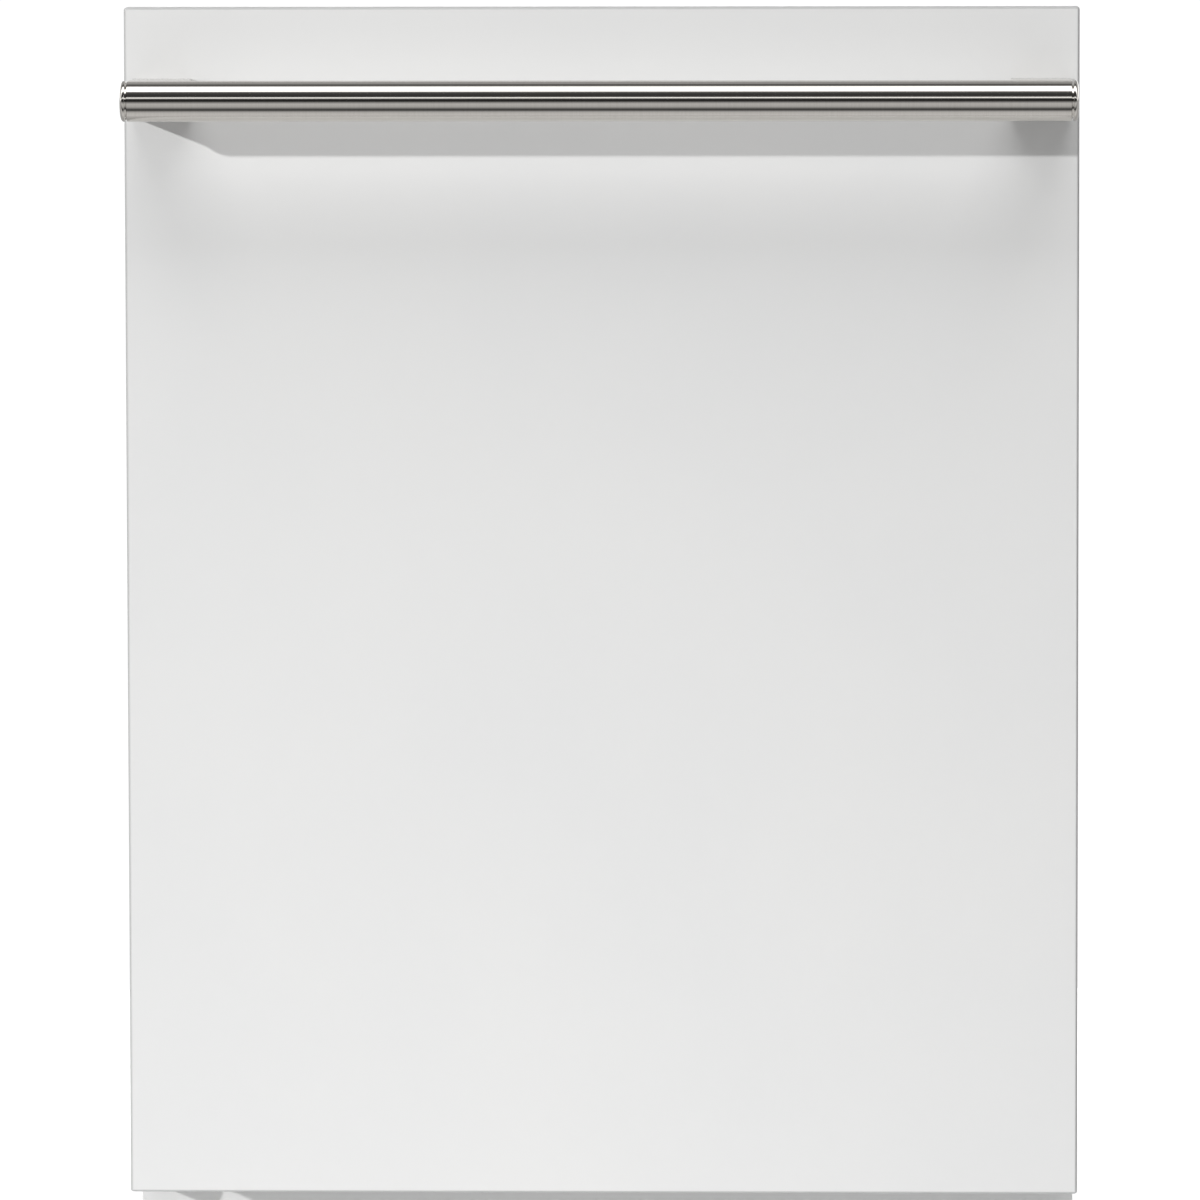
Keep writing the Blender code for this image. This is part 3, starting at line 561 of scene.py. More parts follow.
def keep(node, look):
    """Finish a CAD node whose shape is right as it is."""
    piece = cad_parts[node]
    for slot in piece.material_slots:
        slot.material = LOOKS[look]


# The front of the door


def door_panel():
    """The enamelled sheet, folded back round its edges with a small radius."""
    low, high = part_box("door_outer_panel")
    bm = bmesh.new()
    block_into(bm, low, high)
    piece = from_bmesh("door_panel", bm)
    bevel(piece, 0.0016, 4)
    sheet = Vector.Fill(3, 0.0015)
    far = high - sheet
    far.y = 0.0
    cut(piece, blocks("hollow", [(low + sheet, far)]))
    add_piece(piece, "panel", "door", ["door_outer_panel"], 30.0)


def bar_handle():
    """The round bar, its domed plugs and its two standoffs."""
    low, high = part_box("handle_tube")
    centre = (0.0, (low.y + high.y) / 2, (low.z + high.z) / 2)
    radius = (high.z - low.z) / 2
    half = high.x
    edge = 0.0004
    bore = radius - 0.0018
    profile = [(bore, -half), (radius - edge, -half), (radius, -half + edge)]
    profile += [(radius, half - edge), (radius - edge, half), (bore, half)]
    tube = turned("bar_tube", profile, centre, "X", 96)
    add_piece(tube, "brushed_steel", "door", ["handle_tube"])
    for side, word in SIDES:
        bar_cap(side, word, centre, radius, half)
        bar_post(word, centre, radius)


def bar_cap(side, word, centre, radius, half):
    """A plug that fits into the bar's bore, with a domed end."""
    low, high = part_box(f"handle_end_cap_{word}")
    end = max(abs(low.x), abs(high.x))
    face = half + 0.0009
    inside, neck = half - 0.009, radius - 0.0022
    dome, round_edge = face + 0.0012, 0.0045
    profile = [(0.0, inside), (neck, inside), (neck, face)]
    profile += [(radius - 0.0003, face), (radius, face + 0.0003), (radius, dome)]
    steps = 6
    for step in range(1, steps + 1):
        turn = math.pi / 2 * step / steps
        bulge = (end - face - 0.0016) * math.sin(turn)
        profile.append((radius - round_edge + round_edge * math.cos(turn), dome + bulge))
    profile.append((0.0, end))
    flipped = [(r, side * d) for r, d in profile]
    cap = turned(f"bar_cap_{word}", flipped, centre, "X", 96)
    add_piece(cap, "brushed_steel", "door", [f"handle_end_cap_{word}"])


def bar_post(word, centre, radius):
    """A square standoff, hollowed where the bar sits in it."""
    node = f"handle_post_{word}"
    low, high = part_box(node)
    piece = blocks(f"bar_post_{word}", [(low, high)], 0.0010, 3)
    reach = radius + 0.0002
    saddle = [(0.0, -0.4), (reach, -0.4), (reach, 0.4), (0.0, 0.4)]
    cut(piece, turned("saddle", saddle, centre, "X", 96))
    add_piece(piece, "brushed_steel", "door", [node], 30.0)


# The inside and the edges of the door


def liner_details():
    """Screws along the liner's sides, clips on its pivots, and two beads round its middle."""
    keep("door_inner_liner", "steel")
    screw_row = -0.2405
    for side, word in SIDES:
        keep(f"hinge_arm_{word}", "zinc")
        x = side * 0.2841
        places = [(x, screw_row, z) for z in (0.34, 0.48, 0.62, 0.76)]
        heads = screw_heads(f"liner_screws_{word}", places, "X", side, 0.0036)
        add_piece(heads, "zinc", "door")
        ring = [(0.0031, 0.2914), (0.0062, 0.2914), (0.0062, 0.2920), (0.0031, 0.2924)]
        clip = turned(f"pivot_clip_{word}", [(r, side * d) for r, d in ring], HINGE, "X", 32)
        add_piece(clip, "zinc", "door")
        x = side * 0.2873
        places = [(x, screw_row, z) for z in (0.18, 0.23, 0.28)]
        arm_heads = screw_heads(f"arm_screws_{word}", places, "X", side, 0.0042)
        add_piece(arm_heads, "zinc", "door")
    sunk = LINER_INSIDE - 0.0003
    half, bottom, top = 0.255, 0.176, 0.806
    loops = []
    for inset in (0.016, 0.028):
        corner = (half - inset, top - inset)
        outline = rounded_outline((-half + inset, bottom + inset), corner, 0.03)
        loops.append([Vector((x, sunk, z)) for x, z in outline])
    add_piece(wires("liner_beads", loops, 0.0016, True), "steel", "door")


def dispenser_details():
    """The dispenser's body, its sliding lid with a ribbed thumb grip, and the rinse-aid cap."""
    keep("detergent_dispenser", "grey_plastic")
    face = LINER_INSIDE + 0.0006
    outline = rounded_outline((-0.066, 0.382), (0.002, 0.458), 0.007)
    lid = prism("dispenser_lid_cover", outline, "Y", face, face + 0.003, 0.0009)
    add_piece(lid, "pale_plastic", "dispenser_lid_body", ["dispenser_lid"])
    starts = [-0.0585 + 0.004 * i for i in range(4)]
    ribs = [((x, face + 0.0025, 0.397), (x + 0.0017, face + 0.0060, 0.443)) for x in starts]
    add_piece(blocks("lid_grip_ribs", ribs, 0.0006), "pale_plastic", "dispenser_lid_body")
    profile = [(0.0, -0.228), (0.0176, -0.228), (0.0178, face)]
    profile += [(0.0172, face + 0.0011), (0.0, face + 0.0015)]
    cap = turned("rinse_cap", profile, (0.060, 0.0, 0.440), "Y")
    add_piece(cap, "pale_plastic", "rinse_aid_cap_body", ["rinse_aid_cap"])
    bar = ((0.0465, face + 0.0008, 0.4378), (0.0735, face + 0.0055, 0.4422))
    add_piece(blocks("rinse_cap_grip", [bar], 0.0012, 3), "pale_plastic", "rinse_aid_cap_body")
    profile = [(0.0, face - 0.0004), (0.006, face - 0.0004), (0.006, face), (0.0045, face + 0.0009)]
    profile.append((0.0, face + 0.0013))
    lens = turned("rinse_level_window", profile, (0.060, 0.0, 0.398), "Y", 32)
    add_piece(lens, "dark_glass", "door")


def controls():
    """The strip of buttons along the top edge of the door."""
    keep("control_housing", "black_plastic")
    keep("door_latch", "zinc")
    low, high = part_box("display_window")
    outline = rounded_outline(low.xy, high.xy, 0.002)
    window = prism("display_cover", outline, "Z", low.z, high.z, 0.0004)
    add_piece(window, "dark_glass", "door", ["display_window"])
    for name in ("power", "program", "delay", "start"):
        low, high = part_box(f"{name}_button")
        outline = rounded_outline(low.xy, high.xy, 0.003)
        cap = prism(f"{name}_button_cap", outline, "Z", low.z, high.z, 0.0007, 3)
        add_piece(cap, "grey_plastic", f"{name}_button_body", [f"{name}_button"])
        place = ((low.x + high.x) / 2 + 0.016, -0.240, 0.0)
        profile = [(0.0, 0.8540), (0.0011, 0.8540), (0.0011, 0.8548), (0.0, 0.8550)]
        add_piece(turned(f"{name}_lamp", profile, place, "Z", 20), "dark_glass", "door")


# The racks


def rack_frame(level, rims, halfway, across_count, deep_count):
    """Make a rack's rims and U-shaped wires, and give the box that their middles run round."""
    wire = Vector.Fill(3, WIRE)
    low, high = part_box(f"{level}_rack")
    low += wire
    high -= wire
    lean = 0.0024
    margin = 0.034
    corner = 0.014
    top = high.z
    loops = []
    for z in (top, (low.z + top) / 2) if halfway else (top,):
        outline = rounded_outline(low.xy, high.xy, 0.028)
        loops.append([Vector((x, y, z)) for x, y in outline])
    hoops = []
    for x in steps_between(low.x + margin, high.x - margin, across_count):
        points = [(x, low.y, top), (x, low.y + lean, low.z)]
        points += [(x, high.y - lean, low.z), (x, high.y, top)]
        hoops.append(round_corners(points, corner))
    z = low.z + 1.8 * WIRE  # these cross over the others
    for y in steps_between(low.y + margin, high.y - margin, deep_count):
        points = [(low.x, y, top), (low.x + lean, y, z), (high.x - lean, y, z), (high.x, y, top)]
        hoops.append(round_corners(points, corner))
    node, body = f"{level}_rack", f"{level}_rack_body"
    add_piece(wires(rims, loops, WIRE, True), "rack_coat", body, [node])
    add_piece(wires(f"{node}_hoops", hoops, THIN_WIRE), "rack_coat", body)
    return low, high


def tines(low_z, height, xs, ys, lean):
    """Upright fingers that hold plates."""
    paths = []
    for x in xs:
        for y in ys:
            knee = (x, y + 0.3 * lean, low_z + 0.55 * height)
            points = [(x, y, low_z), knee, (x, y + lean, low_z + height)]
            paths.append(round_corners(points, 0.01, 3))
    return paths


def steps_between(start, end, count):
    return [start + (end - start) * i / (count - 1) for i in range(count)]


def lower_rack():
    body = "lower_rack_body"
    low, high = rack_frame("lower", "lower_rack_loops", True, 9, 9)
    columns = steps_between(-0.210, 0.075, 4)
    fingers = tines(low.z, 0.075, columns, steps_between(-0.150, 0.270, 15), 0.010)
    z = low.z + 0.003
    rows = [[Vector((x, low.y + 0.01, z)), Vector((x, high.y - 0.01, z))] for x in columns]
    add_piece(wires("lower_rack_tines", fingers + rows, THIN_WIRE), "rack_coat", body)
    for side, word in SIDES:
        lower_wheels(side, word)


def lower_wheels(side, word):
    """Two ribbed wheels on one side of the lower rack, and the moulded rail that carries them."""
    low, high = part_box(f"wheel_bracket_{word}")
    bm = bmesh.new()
    axles = bmesh.new()
    for place in ("front", "rear"):
        node = f"{place}_wheel_{word}"
        wheel_low, wheel_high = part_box(node)
        centre = (wheel_low + wheel_high) / 2
        radius = (wheel_high.z - wheel_low.z) / 2
        half = (wheel_high.x - wheel_low.x) / 2
        web, edge = half * 0.5, 0.0012
        profile = [(0.0044, -half), (0.0078, -half), (0.0084, -web), (radius * 0.74, -web)]
        profile += [(radius * 0.78, -half), (radius - edge, -half), (radius, -half + edge)]
        profile += [(r, -d) for r, d in reversed(profile)]
        wheel = turned(f"{place}_roller_{word}", profile, centre, "X")
        add_piece(wheel, "pale_plastic", f"{node}_body", [node])
        y = centre.y
        half_leg = [(0.026, high.z), (0.022, high.z - 0.006), (0.0080, centre.z + 0.010)]
        half_leg.append((0.0075, centre.z - 0.003))
        outline = [(y + wide, z) for wide, z in half_leg]
        outline.append((y, centre.z - 0.0075))
        outline += [(y - wide, z) for wide, z in reversed(half_leg)]
        prism_into(bm, outline, "X", side * 0.2265, side * 0.2325)
        stub = [(0.0, 0.2260), (0.0055, 0.2260), (0.0055, 0.2270)]
        stub += [(0.0040, 0.2270), (0.0040, 0.2485), (0.0, 0.2490)]
        turned_into(axles, [(r, side * d) for r, d in stub], (0.0, y, centre.z), "X", 24)
    near, far = sorted((side * 0.2250, side * 0.2340))
    block_into(bm, (near, low.y, high.z - 0.004), (far, high.y, high.z))
    piece = from_bmesh(f"wheel_rail_{word}", bm)
    bevel(piece, 0.0007, 2)
    add_piece(piece, "pale_plastic", "lower_rack_body", [f"wheel_bracket_{word}"])
    add_piece(from_bmesh(f"wheel_axles_{word}", axles), "zinc", "lower_rack_body")


def cutlery_basket():
    """A basket with slotted walls, dividers and a bail handle."""
    low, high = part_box("cutlery_basket")
    body = "cutlery_basket_body"
    floor = low.z
    rim = 0.3130
    divider_top = 0.300
    wall = 0.0022
    slat = 0.0032
    sunk = 0.0003  # the slats stand back this far from the walls' bands
    boxes = [((low.x, low.y, floor), (high.x, high.y, floor + wall))]
    for z, tall in ((floor, 0.010), (0.262, 0.006), (rim - 0.010, 0.010)):
        boxes.append(((low.x, low.y, z), (high.x, low.y + wall, z + tall)))
        boxes.append(((low.x, high.y - wall, z), (high.x, high.y, z + tall)))
        boxes.append(((low.x, low.y, z), (low.x + wall, high.y, z + tall)))
        boxes.append(((high.x - wall, low.y, z), (high.x, high.y, z + tall)))
    for y in steps_between(low.y + 0.002, high.y - 0.005, 27):
        boxes.append(((low.x + sunk, y, floor), (low.x + wall - sunk, y + slat, rim)))
        boxes.append(((high.x - wall + sunk, y, floor), (high.x - sunk, y + slat, rim)))
    for x in steps_between(low.x + 0.002, high.x - 0.005, 13):
        boxes.append(((x, low.y + sunk, floor), (x + slat, low.y + wall - sunk, rim)))
        boxes.append(((x, high.y - wall + sunk, floor), (x + slat, high.y - sunk, rim)))
    half = 0.0009
    for y in steps_between(low.y + 0.036, high.y - 0.036, 5):
        near = (low.x + 0.001, y - half, floor)
        boxes.append((near, (high.x - 0.001, y + half, divider_top)))
    middle = (low.x + high.x) / 2
    near = (middle - half, low.y + 0.001, floor)
    boxes.append((near, (middle + half, high.y - 0.001, divider_top)))
    add_piece(blocks("basket_walls", boxes, 0.0004, 1), "grey_plastic", body, ["cutlery_basket"])
    y = (low.y + high.y) / 2
    top = high.z - 0.003
    bail = [(middle, low.y + 0.004, divider_top), (middle, y - 0.060, top)]
    bail += [(middle, y + 0.060, top), (middle, high.y - 0.004, divider_top)]
    add_piece(wires("basket_bail", [round_corners(bail, 0.025)], 0.0028), "grey_plastic", body)


def upper_rack():
    body = "upper_rack_body"
    low, _ = rack_frame("upper", "upper_rack_loops", True, 9, 9)
    columns = (-0.160, -0.075, 0.075, 0.160)
    fingers = tines(low.z, 0.050, columns, steps_between(-0.145, 0.265, 12), 0.0)
    add_piece(wires("upper_rack_tines", fingers, THIN_WIRE), "rack_coat", body)
    for side, word in SIDES:
        cup_shelf(side, word, body)
        rack_rollers(side, word, "upper", 0.548, body)
    rack_grip("upper", 0.070, 0.560, 0.590, body)
    feed = round_corners([(0.0, 0.294, 0.492), (0.0, 0.200, 0.494), (0.0, ARM_Y, 0.494)], 0.02)
    add_piece(wires("middle_feed_pipe", [feed], 0.0095), "grey_plastic", body)
    profile = [(0.0, 0.4885), (0.017, 0.4885), (0.017, 0.5045), (0.012, 0.507), (0.0, 0.507)]
    hub = turned("middle_feed_hub", profile, (0.0, ARM_Y, 0.0), "Z", 40)
    add_piece(hub, "grey_plastic", body)


def cup_shelf(side, word, body):
    """A slatted shelf folded over the glasses, and the two posts that hold it."""
    near, far = sorted((side * 0.246, side * 0.172))
    rows = steps_between(-0.150, 0.240, 14)
    slats = [((near, y, 0.6300), (far, y + 0.0035, 0.6335)) for y in rows]
    for x in (near, far - 0.004):
        slats.append(((x, -0.150, 0.6296), (x + 0.004, 0.2435, 0.6339)))
    add_piece(blocks(f"cup_shelf_{word}", slats, 0.0006, 1), "pale_plastic", body)
    x = side * 0.2465
    posts = [((x - 0.0035, y, 0.585), (x + 0.0035, y + 0.010, 0.6345)) for y in (-0.140, 0.225)]
    add_piece(blocks(f"cup_shelf_clips_{word}", posts, 0.001), "pale_plastic", body)


def rack_grip(level, half, low, high, body):
    """The moulded pull on the front of a rack."""
    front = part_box(f"{level}_rack")[0].y
    outline = [(-half, low), (half, low), (half - 0.007, high), (0.007 - half, high)]
    grip = prism(f"{level}_rack_grip", outline, "Y", front - 0.0035, front + 0.004, 0.0023, 3)
    add_piece(grip, "grey_plastic", body)


def rack_rollers(side, word, level, z, body):
    """Small rollers on the side of a rack that run in its rail."""
    profile = [(0.0, 0.2535), (0.0030, 0.2535), (0.0030, 0.2625), (0.0085, 0.2630)]
    profile += [(0.0090, 0.2650), (0.0085, 0.2705), (0.0, 0.2710)]
    bm = bmesh.new()
    for y in (0.060, 0.250):
        turned_into(bm, [(r, side * d) for r, d in profile], (0.0, y, z), "X", 28)
    add_piece(from_bmesh(f"{level}_rack_rollers_{word}", bm), "pale_plastic", body)


def third_rack():
    body = "third_rack_body"
    low, _ = rack_frame("third", "third_rack_loop", False, 15, 13)
    combs = []
    for x in (-0.125, 0.0, 0.125):
        combs.append(((x - 0.002, -0.170, low.z + 0.004), (x + 0.002, 0.284, low.z + 0.012)))
        for y in steps_between(-0.166, 0.276, 30):
            combs.append(((x - 0.0015, y, low.z + 0.010), (x + 0.0015, y + 0.0045, low.z + 0.024)))
    add_piece(blocks("third_rack_combs", combs, 0.0005, 1), "pale_plastic", body)
    rack_grip("third", 0.060, 0.764, 0.786, body)
    for side, word in SIDES:
        rack_rollers(side, word, "third", 0.766, body)


def rails():
    for level in ("upper", "third"):
        for _, word in SIDES:
            keep(f"{level}_rail_{word}", "zinc")


# The wash system


def spray_arm(name, node, reach, root, tip, hub, low, high, nozzles):
    """A two-bladed arm with a crowned top, a hub and a row of nozzles on each blade."""
    body = f"{node}_body"
    bm = bmesh.new()
    around = 20
    rings = []
    middle = (low + high) / 2
    half_tall = (high - low) / 2
    for x in steps_between(-reach, reach, 29):
        share = abs(x) / reach
        wide = root + (tip - root) * share
        near_tip = max(0.0, (abs(x) - (reach - tip)) / tip)
        wide *= math.sqrt(max(1.0 - near_tip**2, 0.02))
        if abs(x) < hub:
            wide = max(wide, math.sqrt(hub * hub - x * x))
        tall = half_tall * (1.0 - 0.25 * share) * (1.0 - 0.55 * near_tip**3)
        ring = []
        for step in range(around):
            turn = 2 * math.pi * step / around
            y = wide * math.copysign(abs(math.cos(turn)) ** 0.7, math.cos(turn))
            z = tall * math.copysign(abs(math.sin(turn)) ** 0.8, math.sin(turn))
            ring.append(bm.verts.new((x, ARM_Y + y, middle + z)))
        rings.append(ring)
    for here, there in zip(rings, rings[1:]):
        for i in range(around):
            j = (i + 1) % around
            bm.faces.new((here[i], here[j], there[j], there[i]))
    bm.faces.new(rings[0])
    bm.faces.new(rings[-1])
    add_piece(from_bmesh(f"{name}_blade", bm), "grey_plastic", body, [node])
    bm = bmesh.new()
    for i in range(nozzles):
        for side in (-1, 1):
            x = side * (hub + 0.012 + (reach - hub - 0.030) * i / (nozzles - 1))
            share = abs(x) / reach
            top = middle + half_tall * (1.0 - 0.25 * share) - 0.0006
            y = ARM_Y + side * 0.30 * root * (1 if i % 2 else -1)
            jet = [(0.0012, top), (0.0036, top), (0.0034, top + 0.0013)]
            jet += [(0.0026, top + 0.0016), (0.0012, top + 0.0016)]
            turned_into(bm, jet, (x, y, 0.0), "Z", 16)
    add_piece(from_bmesh(f"{name}_nozzles", bm), "pale_plastic", body)


def spray_arms():
    # name, node, reach, half widths at the root, tip and hub, bottom, top, nozzles on a blade
    spray_arm("lower_arm", "lower_spray_arm", 0.205, 0.021, 0.017, 0.032, 0.187, 0.1995, 8)
    spray_arm("middle_arm", "middle_spray_arm", 0.190, 0.019, 0.015, 0.028, 0.462, 0.4735, 7)
    spray_arm("ceiling_arm", "ceiling_sprayer", 0.080, 0.015, 0.012, 0.022, 0.797, 0.8055, 4)
    collars = (
        ("lower_arm_collar", "lower_spray_arm", 0.0178, 0.1845, 0.1885),
        ("middle_arm_collar", "middle_spray_arm", 0.0148, 0.4720, 0.4878),
        ("ceiling_arm_collar", "ceiling_sprayer", 0.0118, 0.8040, 0.8127),
    )
    for name, node, radius, low, high in collars:
        profile = [(0.0, low), (radius, low), (radius, high), (0.0, high)]
        collar = turned(name, profile, (0.0, ARM_Y, 0.0), "Z", 36)
        add_piece(collar, "pale_plastic", f"{node}_body")
    profile = [(0.0, 0.1990), (0.0185, 0.1990), (0.0185, 0.2035), (0.0160, 0.2060), (0.0, 0.2065)]
    nut = turned("lower_arm_nut", profile, (0.0, ARM_Y, 0.0), "Z", 12)
    add_piece(nut, "pale_plastic", "lower_spray_arm_body")


def filters():
    keep("filter_plate", "sieve")
    keep("sump", "grey_plastic")
    low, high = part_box("filter_cup")
    rim = 0.1541
    floor = low.z + 0.004
    profile = [(0.0, low.z), (0.037, low.z), (0.037, rim), (0.0425, rim), (0.043, rim + 0.0008)]
    profile += [(0.043, rim + 0.0024), (0.0422, rim + 0.0030), (0.0346, rim + 0.0030)]
    profile += [(0.034, rim + 0.0020), (0.034, floor), (0.0, floor)]
    cup = turned("filter_basket", profile, (0.0, 0.108, 0.0), "Z", 64)
    add_piece(cup, "grey_plastic", "filter_cup_body", ["filter_cup"])
    outline = [(-0.033, 0.128), (0.033, 0.128), (0.033, 0.158), (0.012, high.z)]
    outline += [(-0.012, high.z), (-0.033, 0.158)]
    grip = prism("filter_grip", outline, "Y", 0.1055, 0.1105, 0.0014, 3)
    add_piece(grip, "grey_plastic", "filter_cup_body")
    low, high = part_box("float_dome")
    centre = ((low.x + high.x) / 2, (low.y + high.y) / 2, low.z)
    profile = [(0.0, 0.019), (0.0185, 0.019), (0.0185, 0.0), (0.021, 0.0)]
    profile += [(0.021, 0.017), (0.0195, 0.0215), (0.014, 0.0245), (0.0, 0.026)]
    cap = turned("float_cap", profile, centre, "Z")
    add_piece(cap, "pale_plastic", "float_dome_body", ["float_dome"])


def heater():
    """The heating tube, with the clips that hold it off the floor."""
    z = 0.170
    back = 0.3230
    points = [(-0.060, back, z), (-0.060, 0.232, z), (-0.165, 0.232, z), (-0.165, -0.095, z)]
    points += [(-x, y, z) for x, y, z in reversed(points)]
    tube = wires("heater_tube", [round_corners(points, 0.022, 8)], 0.0039)
    add_piece(tube, "heater", "chassis", ["heating_element"])
    clips = []
    for x, y in ((-0.165, 0.060), (0.165, 0.060), (0.0, -0.095)):
        clips.append(((x - 0.006, y - 0.006, 0.1515), (x + 0.006, y + 0.006, 0.1655)))
    add_piece(blocks("heater_clips", clips, 0.0012), "zinc", "chassis")


def duct():
    """The water duct on the back wall and ceiling."""
    low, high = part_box("water_feed_tube")
    boxes = [((low.x, high.y - 0.014, low.z), (high.x, high.y, high.z))]
    boxes.append(((low.x, low.y, high.z - 0.010), (high.x, high.y, high.z)))
    boxes.append(((-0.012, 0.3000, 0.478), (0.012, high.y - 0.010, 0.496)))
    add_piece(blocks("wash_duct", boxes, 0.0035, 4), "grey_plastic", "chassis", ["water_feed_tube"])
    left, right, front = low.x - 0.003, high.x + 0.003, high.y - 0.0155
    clips = [((left, front, z), (right, high.y, z + 0.012)) for z in (0.24, 0.42, 0.60, 0.76)]
    add_piece(blocks("duct_clips", clips, 0.001), "pale_plastic", "chassis")


# The tub, frame and base


def tub_and_seal():
    """The tub, and the seal round its mouth with a bead along each of its edges."""
    keep("tub", "tub")
    keep("latch_strike", "zinc")
    y = (TUB_FRONT + LINER_RIM) / 2
    half = (TUB_FRONT - LINER_RIM) / 2 - 0.0003
    across = 0.2812
    corners = [(-across, 0.166), (-across, 0.8272), (across, 0.8272), (across, 0.166)]
    beads = (("seal_bead_front", half - 0.0032, 0.0032), ("seal_bead_back", -half + 0.0034, 0.0034))
    for name, inset, radius in beads:
        path = round_corners([(x, y - inset, z) for x, z in corners], 0.024, 6)
        add_piece(wires(name, [path], radius), "rubber", "chassis")
    keep("door_gasket", "rubber")


def insulation():
    """The felt over the tub, with foil tape over its seams and a strap near each end."""
    keep("insulation_wrap", "felt")
    low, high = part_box("insulation_wrap")
    left, right, top = low.x - 0.0003, high.x + 0.0003, high.z + 0.0003
    path = [(left, 0.175), (left, top), (right, top), (right, 0.175)]
    for i, y in enumerate((low.y + 0.012, 0.062, high.y - 0.040)):
        add_piece(strap(f"foil_strap_{i}", path, y, y + 0.028, 0.0003), "foil", "chassis")


def strap(name, path, start, end, thick):
    """A thin strip that lies over the outline in XZ, from start to end along Y."""
    bm = bmesh.new()
    outer = round_corners([(x, 0.0, z) for x, z in path], 0.004, 4)
    rows = []
    for y in (start, end):
        rows.append([bm.verts.new((p.x, y, p.z)) for p in outer])
    for i in range(len(outer) - 1):
        bm.faces.new((rows[0][i], rows[0][i + 1], rows[1][i + 1], rows[1][i]))
    piece = from_bmesh(name, bm)
    modifier = piece.modifiers.new("thick", "SOLIDIFY")
    modifier.thickness = thick
    modifier.offset = 0.0
    return settle(piece)


def uprights():
    """The frame's uprights, with their screws."""
    for side, word in SIDES:
        keep(f"frame_rail_{word}", "zinc")
        keep(f"hinge_cassette_{word}", "zinc")
        x = side * 0.297
        places = [(x, -0.182, z) for z in (0.19, 0.42, 0.66)]
        heads = screw_heads(f"upright_screws_{word}", places, "X", side, 0.0040)
        add_piece(heads, "zinc", "chassis")


def base():
    """The base tray with stiffening ribs, the toe plate and its screws."""
    keep("base_frame", "black_plastic")
    keep("toe_kick", "enamel")
    bottom, top, rib = 0.040, 0.140, 0.003
    half = 0.2865
    for side, word in SIDES:
        near, far = sorted((side * half, side * (half + rib)))
        rows = steps_between(-0.130, 0.320, 10)
        ribs = [((near, y, bottom), (far, y + rib, top)) for y in rows]
        ribs.append(((near, -0.150, 0.0850), (far, 0.330, 0.0880)))
        add_piece(blocks(f"base_ribs_{word}", ribs, 0.0008, 1), "black_plastic", "chassis")
    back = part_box("base_frame")[1].y
    columns = steps_between(-0.27, 0.267, 12)
    ribs = [((x, back - 0.001, bottom), (x + rib, back - 0.0001, top)) for x in columns]
    add_piece(blocks("base_ribs_rear", ribs, 0.0003, 1), "black_plastic", "chassis")
    places = [(x, -0.2000, 0.060) for x in (-0.24, 0.24)]
    add_piece(screw_heads("toe_screws", places, "Y", -1, 0.0042), "zinc", "chassis")


def feet():
    """Levelling feet: a pad under a threaded rod."""
    pitch = 0.0016
    for place in ("front", "rear"):
        for _, word in SIDES:
            node = f"{place}_foot_{word}"
            low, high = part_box(node)
            centre = ((low.x + high.x) / 2, (low.y + high.y) / 2, 0.0)
            profile = [(0.0, 0.0), (0.0175, 0.0), (0.019, 0.0012), (0.019, 0.0065)]
            profile += [(0.0175, 0.0085), (0.011, 0.012), (0.0049, 0.012)]
            z = 0.0125
            while z < high.z - 0.003:
                profile += [(0.0050, z), (0.0044, z + pitch / 2)]
                z += pitch
            profile += [(0.0044, high.z), (0.0, high.z)]
            foot = turned(f"{place}_levelling_foot_{word}", profile, centre, "Z", 36)
            add_piece(foot, "foot_steel", f"{node}_body", [node])


def pumps():
    keep("circulation_pump", "black_plastic")
    keep("drain_pump", "grey_plastic")
    keep("inlet_valve", "pale_plastic")
    keep("junction_box", "zinc")


# The camera, floor and lights

SUN_FROM = Vector((-1.18, -1.0, 0.47))
KEY = 1.84
FILL = 0.26
TOP = 41.0
GLOW = 0.35
BACKDROP = 1.05
CARD_PEAK = 4.0
# The surroundings as the steel reflects them: degrees above the horizon in front of the door, and
# brightness. They were worked out from how bright the photographed bar is at each angle.
CARDS = (
    (-133, 0.62),
    (-118, 0.56),
    (-102, 0.68),
    (-84, 0.95),
    (-68, 0.86),
    (-60, 0.62),
    (-53, 0.16),
    (-47, 0.07),
    (-41, 0.20),
    (-35, 0.48),
    (-29, 0.70),
    (-14, 0.82),
    (-6, 0.45),
    (-1, 0.12),
    (3, 0.03),
    (12, 0.03),
    (17, 0.50),
    (21, 2.40),
    (25, 0.12),
    (35, 0.05),
    (50, 0.12),
    (56, 0.50),
    (61, 3.20),
    (87, 3.20),
    (93, 0.90),
    (98, 0.18),
    (110, 0.16),
    (117, 0.52),
    (168, 0.60),
    (173, 2.40),
)


def camera():
    """A long lens a little to the right of the door and above its middle."""
    place = Vector((0.1815, -6.5601, 1.0622))
    yaw, pitch, roll = 0.0291, 0.0915, 0.0020
    turn = Matrix.Rotation(yaw, 4, "Z") @ Matrix.Rotation(math.pi / 2 - pitch, 4, "X")
    turn @= Matrix.Rotation(-roll, 4, "Z")
    data = bpy.data.cameras.new("camera")
    data.sensor_width = 36.0
    data.lens = 301.75
    data.clip_end = 60.0
    piece = link_object("camera", data)
    piece.matrix_world = Matrix.Translation(place) @ turn
    bpy.context.scene.camera = piece


def floor():
    """A plain pale floor, lit from within so that it fades into the white backdrop."""
    look = Look("floor", (0.88, 0.88, 0.88), 0.18)
    look.set("Emission Color", (1.0, 1.0, 1.0, 1.0))
    look.set("Emission Strength", GLOW)
    show_from_above(look)
    bm = bmesh.new()
    bmesh.ops.create_circle(bm, cap_ends=True, radius=1.6, segments=96)
    piece = from_bmesh("floor", bm)
    piece.location.z = -0.0005
    piece.data.materials.append(look.material)
    piece.visible_glossy = False


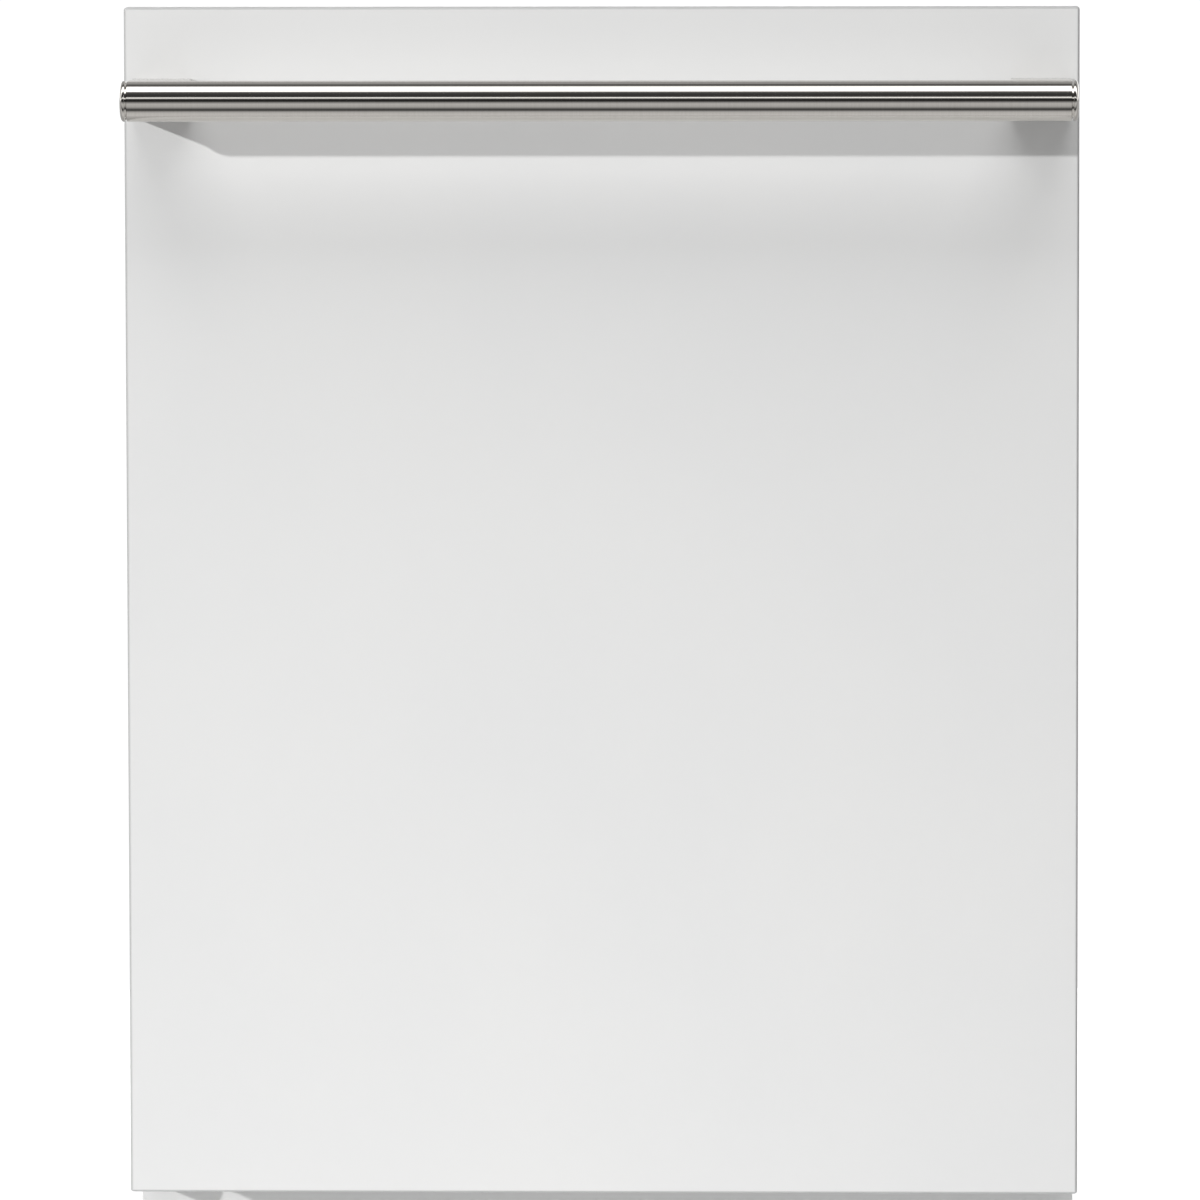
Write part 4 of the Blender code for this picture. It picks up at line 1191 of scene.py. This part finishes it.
def show_from_above(look):
    """Leave the back of a surface clear, so that the machine can be seen from below."""
    tree = look.tree
    back = tree.nodes.new("ShaderNodeNewGeometry").outputs["Backfacing"]
    clear = tree.nodes.new("ShaderNodeBsdfTransparent")
    mix = tree.nodes.new("ShaderNodeMixShader")
    look.link(back, mix.inputs[0])
    look.link(look.shader.outputs["BSDF"], mix.inputs[1])
    look.link(clear.outputs["BSDF"], mix.inputs[2])
    look.link(mix.outputs["Shader"], tree.nodes["Material Output"].inputs["Surface"])


def studio_surroundings():
    """A white backdrop, an even fill, and soft boxes and dark cards that only reflections show."""
    world = bpy.data.worlds.new("studio")
    bpy.context.scene.world = world
    world.use_nodes = True
    tree = world.node_tree
    tree.nodes.clear()
    rays = tree.nodes.new("ShaderNodeLightPath").outputs
    fill = tree.nodes.new("ShaderNodeBackground")
    fill.inputs["Strength"].default_value = FILL
    backdrop = tree.nodes.new("ShaderNodeBackground")
    backdrop.inputs["Strength"].default_value = BACKDROP
    cards = tree.nodes.new("ShaderNodeBackground")
    for node in (fill, backdrop):
        node.inputs["Color"].default_value = (1.0, 1.0, 1.0, 1.0)
    tree.links.new(card_brightness(tree), cards.inputs["Strength"])
    shown = fill.outputs[0]
    for share, other in ((rays["Is Glossy Ray"], cards), (rays["Is Camera Ray"], backdrop)):
        mix = tree.nodes.new("ShaderNodeMixShader")
        tree.links.new(share, mix.inputs[0])
        tree.links.new(shown, mix.inputs[1])
        tree.links.new(other.outputs[0], mix.inputs[2])
        shown = mix.outputs[0]
    output = tree.nodes.new("ShaderNodeOutputWorld")
    tree.links.new(shown, output.inputs["Surface"])


def card_brightness(tree):
    """Brightness by the angle above the horizon in front of the door: -180 to 180 degrees."""
    split = tree.nodes.new("ShaderNodeSeparateXYZ")
    place = tree.nodes.new("ShaderNodeTexCoord")
    tree.links.new(place.outputs["Generated"], split.inputs[0])
    away = math_node(tree, "MULTIPLY", split.outputs["Y"], -1.0)
    angle = math_node(tree, "ARCTAN2", split.outputs["Z"], away)
    share = tree.nodes.new("ShaderNodeMapRange")
    share.inputs["From Min"].default_value = -math.pi
    share.inputs["From Max"].default_value = math.pi
    tree.links.new(angle, share.inputs["Value"])
    ramp = tree.nodes.new("ShaderNodeValToRGB")
    stops = ramp.color_ramp.elements
    for degrees, brightness in CARDS:
        stop = stops.new((degrees + 180.0) / 360.0)
        level = brightness / CARD_PEAK
        stop.color = (level, level, level, 1.0)
    stops.remove(stops[0])
    stops.remove(stops[-1])
    tree.links.new(share.outputs["Result"], ramp.inputs["Fac"])
    return math_node(tree, "MULTIPLY", ramp.outputs["Color"], CARD_PEAK)


def lights():
    """A low sun from the front left, and a wide soft light above the door."""
    sun = bpy.data.lights.new("key", "SUN")
    sun.energy = KEY
    sun.angle = math.radians(1.6)
    key = link_object("key", sun)
    key.rotation_euler = SUN_FROM.to_track_quat("Z", "Y").to_euler()
    panel = bpy.data.lights.new("top", "AREA")
    panel.shape = "RECTANGLE"
    panel.size = 2.6
    panel.size_y = 1.2
    panel.energy = TOP
    top = link_object("top", panel)
    top.location = (0.0, -1.3, 3.2)
    aim = Vector((0.0, -0.3, 0.6)) - top.location
    top.rotation_euler = aim.to_track_quat("-Z", "Y").to_euler()
    for piece in (top, key):
        piece.visible_glossy = False
        piece.visible_camera = False


def main():
    door_panel()
    bar_handle()
    liner_details()
    dispenser_details()
    controls()
    lower_rack()
    cutlery_basket()
    upper_rack()
    third_rack()
    rails()
    spray_arms()
    filters()
    heater()
    duct()
    tub_and_seal()
    insulation()
    uprights()
    base()
    feet()
    pumps()
    camera()
    floor()
    studio_surroundings()
    lights()
    bpy.context.scene.view_settings.view_transform = "Standard"


main()
